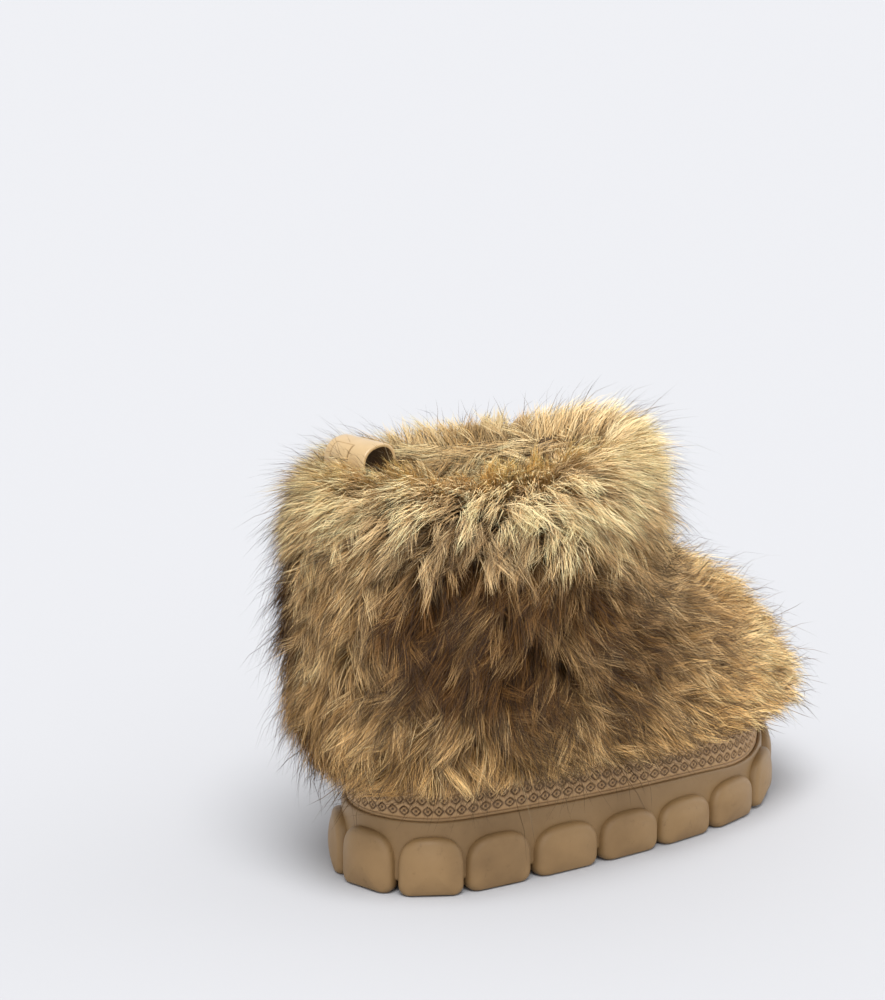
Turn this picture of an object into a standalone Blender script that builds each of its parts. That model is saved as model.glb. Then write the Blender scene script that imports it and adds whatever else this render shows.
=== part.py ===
# Apres ski boot, right foot: fur upper on a moulded shell and a thick lugged outsole.
# Metres, +Z up, toe towards +X, outer side towards -Y. The origin is on the floor,
# under the middle of the outsole. Tables and sizes are in millimetres until MM turns them.

import math

import bpy
import numpy as np

MM = 0.001
GAP = 0.3                 # between pieces that meet

# Driving sizes of the sole
LENGTH = 290.0            # over the lug faces, heel to toe
LUG_DEPTH = 4.6           # how far a lug stands out of the side wall
SIDE_TAPER = 0.8          # the side wall leans in by this at its top
BODY_BOTTOM = 6.0         # floor to the underside between the lugs
HEEL_SIDE_HEIGHT = 38.4   # floor to the top edge of the side wall, at the heel
SIDE_FALL = 10.0          # how much lower that edge lies at the toe, without the toe spring
SIDE_DIP = 2.5            # how far that edge dips behind the small toe
SIDE_DIP_AT = 228.0
SIDE_DIP_WIDE = 30.0
TOE_SPRING = 9.4
TOE_SPRING_FROM = 0.72    # share of the length where the sole starts to rise
RIM = 2.2                 # width of the sole's top edge round the shell
CUP_FLOOR = 24.0          # floor to the seat inside the sole

# Lugs round the edge, and blocks along the middle
LUG_COUNT = 18
LUG_SHIFT = 2.7           # the heel lug sits this far to the outer side of the heel's middle
LUG_SLIDE = 4.2           # the lugs along the sides sit this far towards the toe from an even spacing
LUG_SLIDE_FROM = (70.0, 160.0)      # along the edge from the heel, where that shift grows
LUG_SLIDE_TO = (290.0, 380.0)       # and where it ends again
LUG_GAP = 2.6
LUG_BELOW_EDGE = (7.0, 10.2, 2.4)   # lug top to the side's top edge: at the heel, along the side, at the toe
LUG_ARCH_POWER = 2.9
LUG_REACH = 25.0          # how far a lug runs in under the sole, less where the edge turns tightly
LUG_BEVEL = 1.7
TREAD_PITCH = 36.0
TREAD_BLOCKS = range(-2, 3)
TREAD_BLOCK = (26.0, 34.0)
TREAD_CORNER = 5.0

# Walls
SHELL_WALL = 2.4
UPPER_WALL = 3.0
INSOLE_THICK = 6.0
SHELL_TOP_HEEL = 61.0
SHELL_TOP_TOE = 66.0
SHELL_LEAN = 1.6
SHELL_OUT = LUG_DEPTH + SIDE_TAPER + RIM + GAP      # the sole's edge to the shell's outside

# Fur, as a mass with locks
HEM_DROP = (5.0, 17.0)     # how far the fur hangs below its skin at the heel and at the toe
CREST = 10.0              # how far it stands over the collar
LOCK_OUT = 8.5
LOCK_SIZES = (0.6, 1.3)
LOCK_SLIDE = 0.5          # how far a lock's tip slides down, as a share of its row
LUMPS = 0.07              # swell of the fur's mass, as a share of the pile
LOCKS_ROUND = 60
LOCK_ROWS = 13

# Pull loop
LOOP_WIDTH = 28.0
LOOP_STRAP = 1.9
LOOP_LONG = 22.0
LOOP_HIGH = 21.0
LOOP_SEAT_X = 4.0
LOOP_SEAT_Z = 208.5
LOOP_LEAN = -8.0          # degrees, top towards the heel

ROUND_POINTS = 108        # round the sole, shell and insole

# The sole's edge over the lug faces, seen from above, in order round the boot
EDGE_COLUMNS = ("place", "share of length", "side")
EDGE = [
    ("heel back", 0.000, 0.0),
    ("heel corner, outer", 0.055, -35.7),
    ("heel seat, outer", 0.160, -48.2),
    ("waist, outer", 0.380, -60.2),
    ("ball, outer", 0.640, -67.0),
    ("small toe", 0.840, -57.0),
    ("toe corner, outer", 0.965, -24.5),
    ("toe tip", 1.000, 7.0),
    ("toe corner, inner", 0.966, 34.0),
    ("big toe", 0.870, 50.0),
    ("ball, inner", 0.700, 54.0),
    ("waist, inner", 0.420, 49.0),
    ("heel seat, inner", 0.160, 49.0),
    ("heel corner, inner", 0.055, 36.5),
]

# The upper's skin from the seat to the collar. x runs from the heel back; outer and inner are
# half widths; round is 0 where the section is the sole's outline and 1 where it is an ellipse.
# The pile is the depth of the fur over the skin, at the back and at the front.
SKIN_COLUMNS = (
    "level", "back x", "back z", "front x", "front z", "outer", "inner", "round", "back pile", "front pile",
)
SKIN = [
    ("seat", 10.2, 24.4, 279.4, 24.4, 56.8, 44.0, 0.00, 28.0, 28.0),
    ("feather line", 10.2, 44.0, 279.4, 42.0, 56.8, 44.0, 0.00, 28.0, 28.0),
    ("shell top", 11.2, 61.0, 276.0, 60.0, 55.2, 43.0, 0.04, 21.0, 30.0),
    ("toe box", 10.0, 80.0, 262.0, 80.0, 53.0, 43.5, 0.25, 27.0, 26.0),
    ("vamp", 8.0, 101.0, 230.0, 97.0, 52.5, 45.5, 0.50, 31.0, 27.0),
    ("instep", 7.0, 122.0, 192.0, 117.0, 53.0, 48.5, 0.75, 31.0, 27.0),
    ("throat", 8.0, 144.0, 161.0, 142.0, 54.5, 52.0, 0.95, 31.0, 28.0),
    ("shaft", 9.0, 169.0, 151.0, 172.0, 56.0, 54.5, 1.00, 30.0, 30.0),
    ("collar", 10.0, 195.0, 150.0, 202.0, 57.0, 55.5, 1.00, 28.0, 28.0),
]
COLLAR_SAG = (-3.0, 7.0)  # how much lower the collar is at its outer and its inner side
HEM_LEVEL = 2.2
HEM_TUCK = 3.0            # the fur's hem turns up under itself to the shell, this far below the shell's top


def clear_scene():
    for thing in list(bpy.data.objects):
        bpy.data.objects.remove(thing, do_unlink=True)


def material(name, colour, roughness, metallic=0.0):
    made = bpy.data.materials.new(name)
    made.use_nodes = True
    shader = made.node_tree.nodes["Principled BSDF"]
    shader.inputs["Base Color"].default_value = (*colour, 1.0)
    shader.inputs["Roughness"].default_value = roughness
    shader.inputs["Metallic"].default_value = metallic
    return made


def mesh_object(name, points, faces, finish, smooth_angle=40.0):
    """An object from points in millimetres from the heel back, and its faces."""
    placed = (np.asarray(points, float) - (LENGTH / 2, 0.0, 0.0)) * MM
    mesh = bpy.data.meshes.new(name)
    mesh.from_pydata(placed.tolist(), [], faces)
    mesh.update()
    mesh.shade_smooth()
    mesh.set_sharp_from_angle(angle=math.radians(smooth_angle))
    made = bpy.data.objects.new(name, mesh)
    bpy.context.scene.collection.objects.link(made)
    if finish:
        made.data.materials.append(finish)
    return made


def smooth_step(value, low, high):
    share = np.clip((np.asarray(value, float) - low) / (high - low), 0.0, 1.0)
    return share * share * (3.0 - 2.0 * share)


def closed_spline(points, count):
    """A closed cubic through the points, with continuous slope and bend, at count even parameters."""
    points = np.asarray(points, float)
    n = len(points)
    span = np.linalg.norm(np.roll(points, -1, 0) - points, axis=1) ** 0.5
    before = np.roll(span, 1)
    system = np.zeros((n, n))
    right = np.zeros_like(points)
    for i in range(n):
        system[i, i - 1] = before[i]
        system[i, i] = 2.0 * (before[i] + span[i])
        system[i, (i + 1) % n] = span[i]
        ahead = (points[(i + 1) % n] - points[i]) / span[i]
        behind = (points[i] - points[i - 1]) / before[i]
        right[i] = 6.0 * (ahead - behind)
    bend = np.linalg.solve(system, right)
    knots = np.concatenate([[0.0], np.cumsum(span)])
    places = np.linspace(0.0, knots[-1], count, endpoint=False)
    piece = np.clip(np.searchsorted(knots, places, side="right") - 1, 0, n - 1)
    after = (piece + 1) % n
    h = span[piece][:, None]
    a = (knots[piece + 1] - places)[:, None]
    b = (places - knots[piece])[:, None]
    return (
        bend[piece] * a**3 / (6 * h)
        + bend[after] * b**3 / (6 * h)
        + (points[piece] / h - bend[piece] * h / 6) * a
        + (points[after] / h - bend[after] * h / 6) * b
    )


def even_loop(loop, count, start=0.0):
    """The closed loop again, at count points evenly spaced along it, from start millimetres."""
    ring = np.vstack([loop, loop[:1]])
    run = np.concatenate([[0.0], np.cumsum(np.linalg.norm(np.diff(ring, axis=0), axis=1))])
    places = (start + np.arange(count) * run[-1] / count) % run[-1]
    return np.stack([np.interp(places, run, ring[:, k]) for k in range(loop.shape[1])], -1)


def outward(loop):
    """Unit normals of a closed loop seen from above, pointing out of it."""
    along = np.roll(loop, -1, 0) - np.roll(loop, 1, 0)
    across = np.stack([-along[:, 1], along[:, 0]], -1)
    area = np.sum(loop[:, 0] * np.roll(loop[:, 1], -1) - loop[:, 1] * np.roll(loop[:, 0], -1))
    across *= -1.0 if area > 0 else 1.0
    return across / np.linalg.norm(across, axis=1)[:, None]


FINE = 720
EDGE_LOOP = even_loop(closed_spline([(LENGTH * x, y) for _, x, y in EDGE], FINE), FINE)
EDGE_OUT = outward(EDGE_LOOP)
EDGE_RUN = np.linalg.norm(np.roll(EDGE_LOOP, -1, 0) - EDGE_LOOP, axis=1).sum()


def inset(distance, count=ROUND_POINTS):
    """The sole's outline drawn in by distance, at count points from the heel back round the outer side.
    Point i and point count - i lie opposite one another, at the same x."""
    loop = EDGE_LOOP - EDGE_OUT * distance
    back, front = np.argmin(loop[:, 0]), np.argmax(loop[:, 0])
    loop = np.roll(loop, -back, 0)
    front = (front - back) % FINE
    outer = loop[:front + 1]
    inner = np.vstack([loop[front:], loop[:1]])[::-1]
    half = count // 2
    ahead = (1 - np.cos(np.arange(half + 1) / half * math.pi)) / 2
    x = loop[:, 0].min() + ahead * np.ptp(loop[:, 0])
    outer_y = np.interp(x, outer[:, 0], outer[:, 1])
    inner_y = np.interp(x, inner[:, 0], inner[:, 1])
    return np.vstack([np.column_stack([x, outer_y]), np.column_stack([x, inner_y])[half - 1:0:-1]])


def on_edge(run, distance):
    """Points at a run along the edge from the heel back, drawn in by distance."""
    place = (np.asarray(run, float) / EDGE_RUN * FINE) % FINE
    low = np.floor(place).astype(int) % FINE
    high = (low + 1) % FINE
    share = (place - np.floor(place))[:, None]
    point = EDGE_LOOP[low] * (1 - share) + EDGE_LOOP[high] * share
    out = EDGE_OUT[low] * (1 - share) + EDGE_OUT[high] * share
    return point - out * np.asarray(distance, float)[:, None]


def toe_lift(x):
    """How far the sole has risen off the floor at x, because of the toe spring."""
    share = np.clip((np.asarray(x, float) / LENGTH - TOE_SPRING_FROM) / (1 - TOE_SPRING_FROM), 0, None)
    return TOE_SPRING * share**2


def side_top(x):
    """Height of the side wall's top edge."""
    x = np.asarray(x, float)
    dip = SIDE_DIP * np.exp(-((x - SIDE_DIP_AT) / SIDE_DIP_WIDE) ** 2)
    return HEEL_SIDE_HEIGHT - SIDE_FALL * x / LENGTH + toe_lift(x) - dip


def ring(loop, height):
    """A loop seen from above, with its heights."""
    return np.column_stack([loop, np.broadcast_to(height, len(loop))])


def skin_between(rings, closed_path=False, tip=None):
    """Points and faces of a body whose rings run round it, one after another, all in the same sense.
    closed_path joins the last ring to the first. Otherwise strips across close both ends, or fans do:
    one to the first ring's middle and one to the point tip."""
    count = len(rings[0])
    points = np.vstack(rings)
    faces = []
    last = len(rings) if closed_path else len(rings) - 1
    for j in range(last):
        a = j * count
        b = (j + 1) % len(rings) * count
        for i in range(count):
            k = (i + 1) % count
            faces.append((a + i, a + k, b + k, b + i))
    top = (len(rings) - 1) * count
    if not closed_path and tip is None:
        faces += [face[::-1] for face in strips_across(0, count)]
        faces += strips_across(top, count)
    elif not closed_path:
        middle = len(points)
        faces += [((i + 1) % count, i, middle) for i in range(count)]
        faces += [(top + i, top + (i + 1) % count, middle + 1) for i in range(count)]
        points = np.vstack([points, rings[0].mean(0), tip])
    return points, facing_out(points, faces)


def strips_across(start, count):
    """Faces that close a ring of an even count with strips, each between two points and the two opposite."""
    half = count // 2
    faces = [(start, start + 1, start + count - 1)]
    for i in range(1, half - 1):
        faces.append((start + i, start + i + 1, start + count - i - 1, start + count - i))
    faces.append((start + half - 1, start + half, start + half + 1))
    return faces


def facing_out(points, faces):
    """The faces, all turned round if the body they close has a negative volume."""
    volume = 0.0
    for face in faces:
        a = points[face[0]]
        for p, q in zip(face[1:-1], face[2:]):
            volume += np.dot(a, np.cross(points[p], points[q]))
    return [face[::-1] for face in faces] if volume < 0 else faces


def cutter(name, points, faces):
    """A shape that a Boolean uses and the build leaves out."""
    made = mesh_object(name, points, faces, None)
    made.hide_render = True
    made.display_type = "WIRE"
    return made


def lug_arch(half_width, height, corner_points=6):
    """A lug seen from the front: flat foot, upright sides and a round top. Pairs of (along, up)."""
    foot = 3.0
    shoulder = height * 0.42
    power = 2.0 / LUG_ARCH_POWER
    turn = np.linspace(0.0, math.pi, 2 * corner_points)
    across = half_width * np.sign(np.cos(turn)) * np.abs(np.cos(turn)) ** power
    up = shoulder + (height - shoulder) * np.sin(turn) ** power
    arch = np.stack([across, up], -1)
    start = [(half_width - foot, 0.0), (half_width, foot)]
    end = [(-half_width, foot), (-half_width + foot, 0.0)]
    return np.vstack([start, arch, end])


def turn_radius(run, half):
    """The tightest radius of the edge within half of a run."""
    step = EDGE_RUN / FINE
    turned = np.arctan2(EDGE_OUT[:, 1], EDGE_OUT[:, 0])
    bend = np.abs(np.angle(np.exp(1j * (np.roll(turned, -6) - np.roll(turned, 6))))) / (12 * step)
    place = int(run / step)
    reach = int(half / step)
    return 1.0 / max(bend[(place + k) % FINE] for k in range(-reach, reach + 1))


def lug_places():
    """The middle of each lug along the edge and its half width: evenly spaced, then slid along the sides."""
    even = LUG_SHIFT + np.arange(LUG_COUNT) * EDGE_RUN / LUG_COUNT
    from_heel = np.minimum(even, EDGE_RUN - even)
    slide = LUG_SLIDE * smooth_step(from_heel, *LUG_SLIDE_FROM) * (1 - smooth_step(from_heel, *LUG_SLIDE_TO))
    middle = even + np.where(even < EDGE_RUN / 2, slide, -slide)
    ahead = np.append(middle[1:], middle[0] + EDGE_RUN)
    behind = np.append(middle[-1] - EDGE_RUN, middle[:-1])
    return middle, (ahead - behind) / 4 - LUG_GAP / 2


def lug_drop(x):
    """How far a lug's top lies below the side's top edge, at x."""
    heel, side, toe = LUG_BELOW_EDGE
    return heel + (side - heel) * smooth_step(x, 0.0, 100.0) + (toe - side) * smooth_step(x, 160.0, 255.0)


def lug(middle, half):
    """One block of the edge: an arched pad on the side wall whose foot runs in under the sole."""
    reach = min(LUG_REACH, 0.62 * turn_radius(middle, half + LUG_GAP / 2))
    centre = on_edge([middle], [0.0])[0]
    height = float(side_top(centre[0]) - lug_drop(centre[0]) - toe_lift(centre[0]))
    arch = lug_arch(half, height)
    low = arch.copy()
    low[:, 1] = np.minimum(low[:, 1], BODY_BOTTOM + 1.5)
    soft = arch.copy()
    soft[:, 0] *= (half - LUG_BEVEL) / half
    soft[:, 1] = LUG_BEVEL * 0.6 + arch[:, 1] * (height - LUG_BEVEL * 1.6) / height
    pad = soft * (0.5, 0.55) + (0.0, height * 0.21)
    steps = [
        (low, reach, 0.82),
        (low, LUG_DEPTH + 4.5, 0.96),
        (arch, LUG_DEPTH + 2.6, 1.02),
        (arch, 1.3, 1.0),
        (soft, 0.0, 1.0),
        (pad, -0.2, 1.0),
    ]
    rings = []
    for shape, drawn_in, spread in steps:
        plan = on_edge(middle + shape[:, 0] * spread, np.full(len(shape), drawn_in))
        rings.append(np.column_stack([plan, shape[:, 1] + toe_lift(plan[:, 0])]))
    tip = np.append(on_edge([middle], [-0.2])[0], height * 0.45 + toe_lift(centre[0]))
    return skin_between(rings, tip=tip)


def tread_block(index):
    """One block of the middle row, with cut corners."""
    long, wide = TREAD_BLOCK[0] / 2, TREAD_BLOCK[1] / 2
    cut = TREAD_CORNER
    middle = LENGTH / 2 + index * TREAD_PITCH
    plan = np.array([
        (long, -wide + cut), (long, wide - cut), (long - cut, wide), (-long + cut, wide),
        (-long, wide - cut), (-long, -wide + cut), (-long + cut, -wide), (long - cut, -wide),
    ])
    foot = plan * 0.94 + (middle, 0.0)
    root = plan + (middle, 0.0)
    return skin_between([
        ring(foot, toe_lift(foot[:, 0])),
        ring(root, BODY_BOTTOM + 1.5 + toe_lift(root[:, 0])),
    ])


def joined(shapes):
    points, faces, start = [], [], 0
    for shape_points, shape_faces in shapes:
        points.append(shape_points)
        faces += [tuple(i + start for i in face) for face in shape_faces]
        start += len(shape_points)
    return np.vstack(points), faces


def outsole(rubber):
    """The slab with its side wall, the lugs joined on, and the cup cut out of its top."""
    wall = inset(LUG_DEPTH)
    edge = inset(LUG_DEPTH + SIDE_TAPER)
    under = inset(LUG_DEPTH + 2.0)
    over = inset(LUG_DEPTH + SIDE_TAPER + 0.7)
    slab = skin_between([
        ring(under, BODY_BOTTOM + toe_lift(under[:, 0])),
        ring(wall, BODY_BOTTOM + 2.0 + toe_lift(wall[:, 0])),
        ring(edge, side_top(edge[:, 0]) - 0.7),
        ring(over, side_top(over[:, 0])),
    ])
    made = mesh_object("outsole", *slab, rubber)

    lugs = [lug(middle, half) for middle, half in zip(*lug_places())]
    blocks = [tread_block(k) for k in TREAD_BLOCKS]
    tread = cutter("lug_blocks", *joined(lugs + blocks))
    join = made.modifiers.new("lugs", "BOOLEAN")
    join.operation = "UNION"
    join.object = tread

    cup = inset(LUG_DEPTH + SIDE_TAPER + RIM)
    hollow = cutter("cup_hollow", *skin_between([
        ring(cup, CUP_FLOOR + toe_lift(cup[:, 0])),
        ring(cup, side_top(cup[:, 0]) + 20.0),
    ]))
    cut = made.modifiers.new("cup", "BOOLEAN")
    cut.operation = "DIFFERENCE"
    cut.object = hollow
    return made


def skin_table(levels):
    """The columns of SKIN at fractional levels, along smooth curves through its rows."""
    rows = np.array([row[1:] for row in SKIN])
    levels = np.atleast_1d(np.asarray(levels, float))
    low = np.clip(np.floor(levels).astype(int), 0, len(rows) - 2)
    share = (levels - low)[:, None]
    tangent = np.gradient(rows, axis=0)
    a, b = rows[low], rows[low + 1]
    ta, tb = tangent[low], tangent[low + 1]
    s2, s3 = share**2, share**3
    return (2 * s3 - 3 * s2 + 1) * a + (s3 - 2 * s2 + share) * ta + (3 * s2 - 2 * s3) * b + (s3 - s2) * tb


def skin_ring(level, count, drawn_in=0.0):
    """One section of the upper's skin, as a ring from the heel back round the outer side.
    Its plan is the sole's outline or an ellipse, or between the two, fitted to the row's ends and widths."""
    back_x, back_z, front_x, front_z, outer, inner, rounding = skin_table(level)[0][:7]
    outline = inset(0.0, count)
    ahead = (outline[:, 0] - outline[:, 0].min()) / np.ptp(outline[:, 0])
    side = np.where(outline[:, 1] < 0, outline[:, 1] / -outline[:, 1].min(), outline[:, 1] / outline[:, 1].max())
    turn = np.arange(count) / count * 2 * math.pi
    ahead = ahead * (1 - rounding) + (1 - np.cos(turn)) / 2 * rounding
    side = side * (1 - rounding) - np.sin(turn) * rounding
    x = back_x + drawn_in + (front_x - back_x - 2 * drawn_in) * ahead
    y = np.where(side < 0, side * (outer - drawn_in), side * (inner - drawn_in))
    sag = np.where(y < 0, *COLLAR_SAG) * np.abs(np.sin(turn)) * smooth_step(level, len(SKIN) - 3, len(SKIN) - 1)
    z = back_z + (front_z - back_z) * ahead + toe_lift(x) * (1 - rounding) - sag
    return np.column_stack([x, y, z])


def skin_normal(level, count):
    """Unit normals of the skin along one ring, pointing out."""
    here = skin_ring(level, count)
    step = 0.05
    above = skin_ring(min(level + step, len(SKIN) - 1), count)
    below = skin_ring(max(level - step, 0), count)
    along = np.roll(here, -1, 0) - np.roll(here, 1, 0)
    normal = np.cross(above - below, along)
    normal /= np.linalg.norm(normal, axis=1)[:, None]
    middle = here.mean(0)
    inward = np.sum((here - middle) * normal, axis=1).mean() < 0
    return -normal if inward else normal


def shell(rubber):
    """The moulded lower: an upright wall in the sole's cup, open at its top and underneath."""
    outer = SHELL_OUT
    count = ROUND_POINTS

    def foot(x):
        return CUP_FLOOR + GAP + toe_lift(x)

    def at(distance, height):
        loop = inset(distance, count)
        return ring(loop, height(loop[:, 0]))

    inner = outer + SHELL_WALL
    rings = [
        at(inner, foot),
        at(outer, foot),
        at(outer, side_top),
        at(outer + 0.5, lambda x: side_top(x) + 12.0),
        at(outer + SHELL_LEAN, lambda x: shell_top(x) - 0.6),
        at(outer + SHELL_LEAN + 0.6, shell_top),
        at(inner + SHELL_LEAN - 0.4, shell_top),
        at(inner + 0.5, lambda x: side_top(x) + 12.0),
        at(inner, side_top),
    ]
    return mesh_object("shell", *skin_between(rings, closed_path=True), rubber)


def insole(fleece):
    """The footbed, on the seat inside the upper, with a slightly raised edge."""
    edge = SHELL_OUT + SHELL_WALL + GAP + UPPER_WALL + GAP + 0.4

    def at(distance, up):
        loop = inset(distance)
        return ring(loop, CUP_FLOOR + GAP + up + toe_lift(loop[:, 0]))

    rings = [
        at(edge, 0.0),
        at(edge, INSOLE_THICK),
        at(edge + 1.5, INSOLE_THICK + 1.0),
        at(edge + 12.0, INSOLE_THICK - 0.5),
    ]
    return mesh_object("insole", *skin_between(rings), fleece)


def fur_ring(level, out, up):
    """A ring of the fur's outside: out is a share of the pile, along the skin's normal, and up is upright."""
    here = skin_ring(level, LOCKS_ROUND)
    ahead = (here[:, 0] - here[:, 0].min()) / np.ptp(here[:, 0])
    back_pile, front_pile = skin_table(level)[0][7:]
    turn = np.arange(LOCKS_ROUND) / LOCKS_ROUND * 2 * math.pi
    lumps = 1 + LUMPS * (np.sin(5 * turn + 2.1 * level) + np.sin(11 * turn - 3.7 * level)) / 2
    depth = (back_pile + (front_pile - back_pile) * ahead) * out * lumps
    moved = here + skin_normal(level, LOCKS_ROUND) * depth[:, None]
    moved[:, 2] += up[0] + (up[1] - up[0]) * ahead
    return moved


def loop_seat(points):
    """Levels the fur's crest at the heel's middle, where the pull loop stands."""
    near = (1 - smooth_step(np.abs(points[:, 1]), 17.0, 30.0)) * (points[:, 0] < 30.0)
    points[:, 2] += (LOOP_SEAT_Z - GAP - points[:, 2]) * near
    return points


def shell_top(x):
    return SHELL_TOP_HEEL + (SHELL_TOP_TOE - SHELL_TOP_HEEL) * np.asarray(x) / LENGTH + toe_lift(x) * 0.5


def upper(fur):
    """One hollow body: the wall inside the shell, the lined shaft, and the fur mass over it with its locks."""
    top = len(SKIN) - 1
    count = LOCKS_ROUND
    wall = SHELL_OUT + SHELL_WALL + GAP

    def over(distance, height):
        loop = inset(distance, count)
        return ring(loop, height(loop[:, 0]))

    def seat(x):
        return CUP_FLOOR + GAP + toe_lift(x)

    rings = [over(wall + UPPER_WALL, seat)]
    rings += [skin_ring(level, count, UPPER_WALL) for level in range(1, top + 1)]
    crest_in = skin_ring(top, count)
    crest_in[:, 2] += CREST * 0.55
    rings.append(loop_seat(crest_in))
    rings.append(loop_seat(fur_ring(top, 0.45, (CREST, CREST))))
    first_lock = len(rings)
    for j in range(LOCK_ROWS + 1):
        share = j / LOCK_ROWS
        level = top - (top - HEM_LEVEL) * share
        out = 0.80 + 0.20 * math.sin(math.pi * min(share * 2.2, 0.5)) - 0.06 * share**2
        rise = CREST * 0.8 * float(1 - smooth_step(share, 0.0, 0.22))
        drop = float(smooth_step(share, 0.6, 1.0))
        rings.append(fur_ring(level, out, (rise - HEM_DROP[0] * drop, rise - HEM_DROP[1] * drop)))
    rings[first_lock] = loop_seat(rings[first_lock])
    face = SHELL_OUT + SHELL_LEAN
    rings += [
        over(face - 6.0, lambda x: shell_top(x) - HEM_TUCK),
        over(face - 2.0, lambda x: shell_top(x) - 1.0),
        over(face - 1.0, lambda x: shell_top(x) + GAP + 0.5),
        over(wall + SHELL_LEAN - 0.1, lambda x: shell_top(x) + GAP + 0.5),
        over(wall + 0.5, lambda x: side_top(x) + 12.0),
        over(wall, side_top),
        over(wall, seat),
    ]

    points, faces = skin_between(rings, closed_path=True)
    lock_faces = {(j, i) for j in range(first_lock - 1, first_lock + LOCK_ROWS) for i in range(count)}
    return with_locks("upper", points, faces, lock_faces, count, fur)


def with_locks(name, points, faces, lock_faces, count, fur):
    """Draws each face of the fur out to a tip, so that it becomes a lock. The tip slides down over the next
    row, and a little to one side."""
    tips, made, rng = [], [], np.random.default_rng(7)
    for face in faces:
        rows = sorted({index // count for index in face})
        columns = sorted({index % count for index in face})
        column = columns[-1] if columns[0] == 0 and columns[-1] == count - 1 else columns[0]
        if (rows[0], column) not in lock_faces or rows[1] - rows[0] != 1:
            made.append(face)
            continue
        upper_edge = points[[index for index in face if index // count == rows[0]]]
        lower_edge = points[[index for index in face if index // count == rows[1]]]
        middle = (upper_edge.mean(0) + lower_edge.mean(0)) / 2
        down = lower_edge.mean(0) - upper_edge.mean(0)
        across = upper_edge[1] - upper_edge[0]
        corners = points[list(face)]
        normal = np.cross(corners[2] - corners[0], corners[3] - corners[1])
        normal /= np.linalg.norm(normal)
        near_loop = middle[0] < 32.0 and abs(middle[1]) < 26.0 and middle[2] > 199.0
        size = 0.12 if near_loop else LOCK_SIZES[0] + (LOCK_SIZES[1] - LOCK_SIZES[0]) * rng.random()
        slide = (LOCK_SLIDE + 0.2 * rng.random()) * (0.0 if near_loop else 1.0)
        swing = 0.35 * (rng.random() * 2 - 1) * (0.0 if near_loop else 1.0)
        tips.append(middle + normal * LOCK_OUT * size + down * slide + across * swing)
        index = len(points) + len(tips) - 1
        made += [(face[i], face[(i + 1) % 4], index) for i in range(4)]
    return mesh_object(name, np.vstack([points, tips]), made, fur, smooth_angle=25.0)


def pull_loop(webbing):
    """A strap bent into a closed ring that stands on the collar, its axis across the boot."""
    turns = 28
    angle = np.arange(turns) / turns * 2 * math.pi
    power = 2.0 / 2.4

    def oval(long, high):
        x = long * np.sign(np.cos(angle)) * np.abs(np.cos(angle)) ** power
        z = high * np.sign(np.sin(angle)) * np.abs(np.sin(angle)) ** power
        return np.stack([x, z], -1)

    outer = oval(LOOP_LONG / 2, LOOP_HIGH / 2)
    inner = oval(LOOP_LONG / 2 - LOOP_STRAP, LOOP_HIGH / 2 - LOOP_STRAP)
    lean = math.radians(LOOP_LEAN)
    rings = []
    for shape, side in ((outer, -1), (outer, 1), (inner, 1), (inner, -1)):
        x = shape[:, 0] * math.cos(lean) + shape[:, 1] * math.sin(lean)
        z = -shape[:, 0] * math.sin(lean) + shape[:, 1] * math.cos(lean)
        x = x + LOOP_SEAT_X
        z = z - z.min()
        rings.append(np.column_stack([x, np.full(turns, side * LOOP_WIDTH / 2), z]))
    lowest = min(r[:, 2].min() for r in rings)
    for r in (rings[2], rings[3]):
        r[:, 2] += LOOP_STRAP
    for r in rings:
        r[:, 2] += LOOP_SEAT_Z - lowest
    return mesh_object("pull_loop", *skin_between(rings, closed_path=True), webbing)


def build():
    clear_scene()
    rubber = material("sole rubber", (0.42, 0.29, 0.17), 0.55)
    shell_rubber = material("shell rubber", (0.40, 0.27, 0.16), 0.55)
    fur = material("fur", (0.45, 0.32, 0.17), 0.9)
    fleece = material("fleece", (0.50, 0.38, 0.24), 0.95)
    webbing = material("loop patent", (0.78, 0.64, 0.42), 0.3)
    outsole(rubber)
    shell(shell_rubber)
    insole(fleece)
    upper(fur)
    pull_loop(webbing)


build()
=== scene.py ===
import math

import bpy
import numpy as np
from mathutils import Matrix, Vector


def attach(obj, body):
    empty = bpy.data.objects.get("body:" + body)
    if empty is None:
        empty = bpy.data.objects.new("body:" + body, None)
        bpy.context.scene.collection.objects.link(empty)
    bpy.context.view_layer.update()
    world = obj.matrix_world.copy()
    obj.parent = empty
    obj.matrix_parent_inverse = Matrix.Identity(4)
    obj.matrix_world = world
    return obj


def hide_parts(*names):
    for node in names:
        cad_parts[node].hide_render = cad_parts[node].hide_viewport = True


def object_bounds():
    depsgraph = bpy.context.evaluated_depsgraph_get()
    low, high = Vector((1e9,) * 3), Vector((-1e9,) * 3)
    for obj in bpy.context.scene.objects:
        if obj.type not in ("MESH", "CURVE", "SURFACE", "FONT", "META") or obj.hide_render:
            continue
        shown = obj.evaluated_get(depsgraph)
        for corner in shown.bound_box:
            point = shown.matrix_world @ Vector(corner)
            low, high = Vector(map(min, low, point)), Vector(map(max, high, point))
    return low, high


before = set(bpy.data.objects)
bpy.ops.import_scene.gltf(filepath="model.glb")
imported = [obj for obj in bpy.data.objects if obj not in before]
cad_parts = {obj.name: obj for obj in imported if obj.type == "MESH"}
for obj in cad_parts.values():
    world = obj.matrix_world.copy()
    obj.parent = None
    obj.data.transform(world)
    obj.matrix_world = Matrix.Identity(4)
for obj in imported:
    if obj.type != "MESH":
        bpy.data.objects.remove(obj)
cadBox = [list(corner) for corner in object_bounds()]
tau = 2 * math.pi

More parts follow.
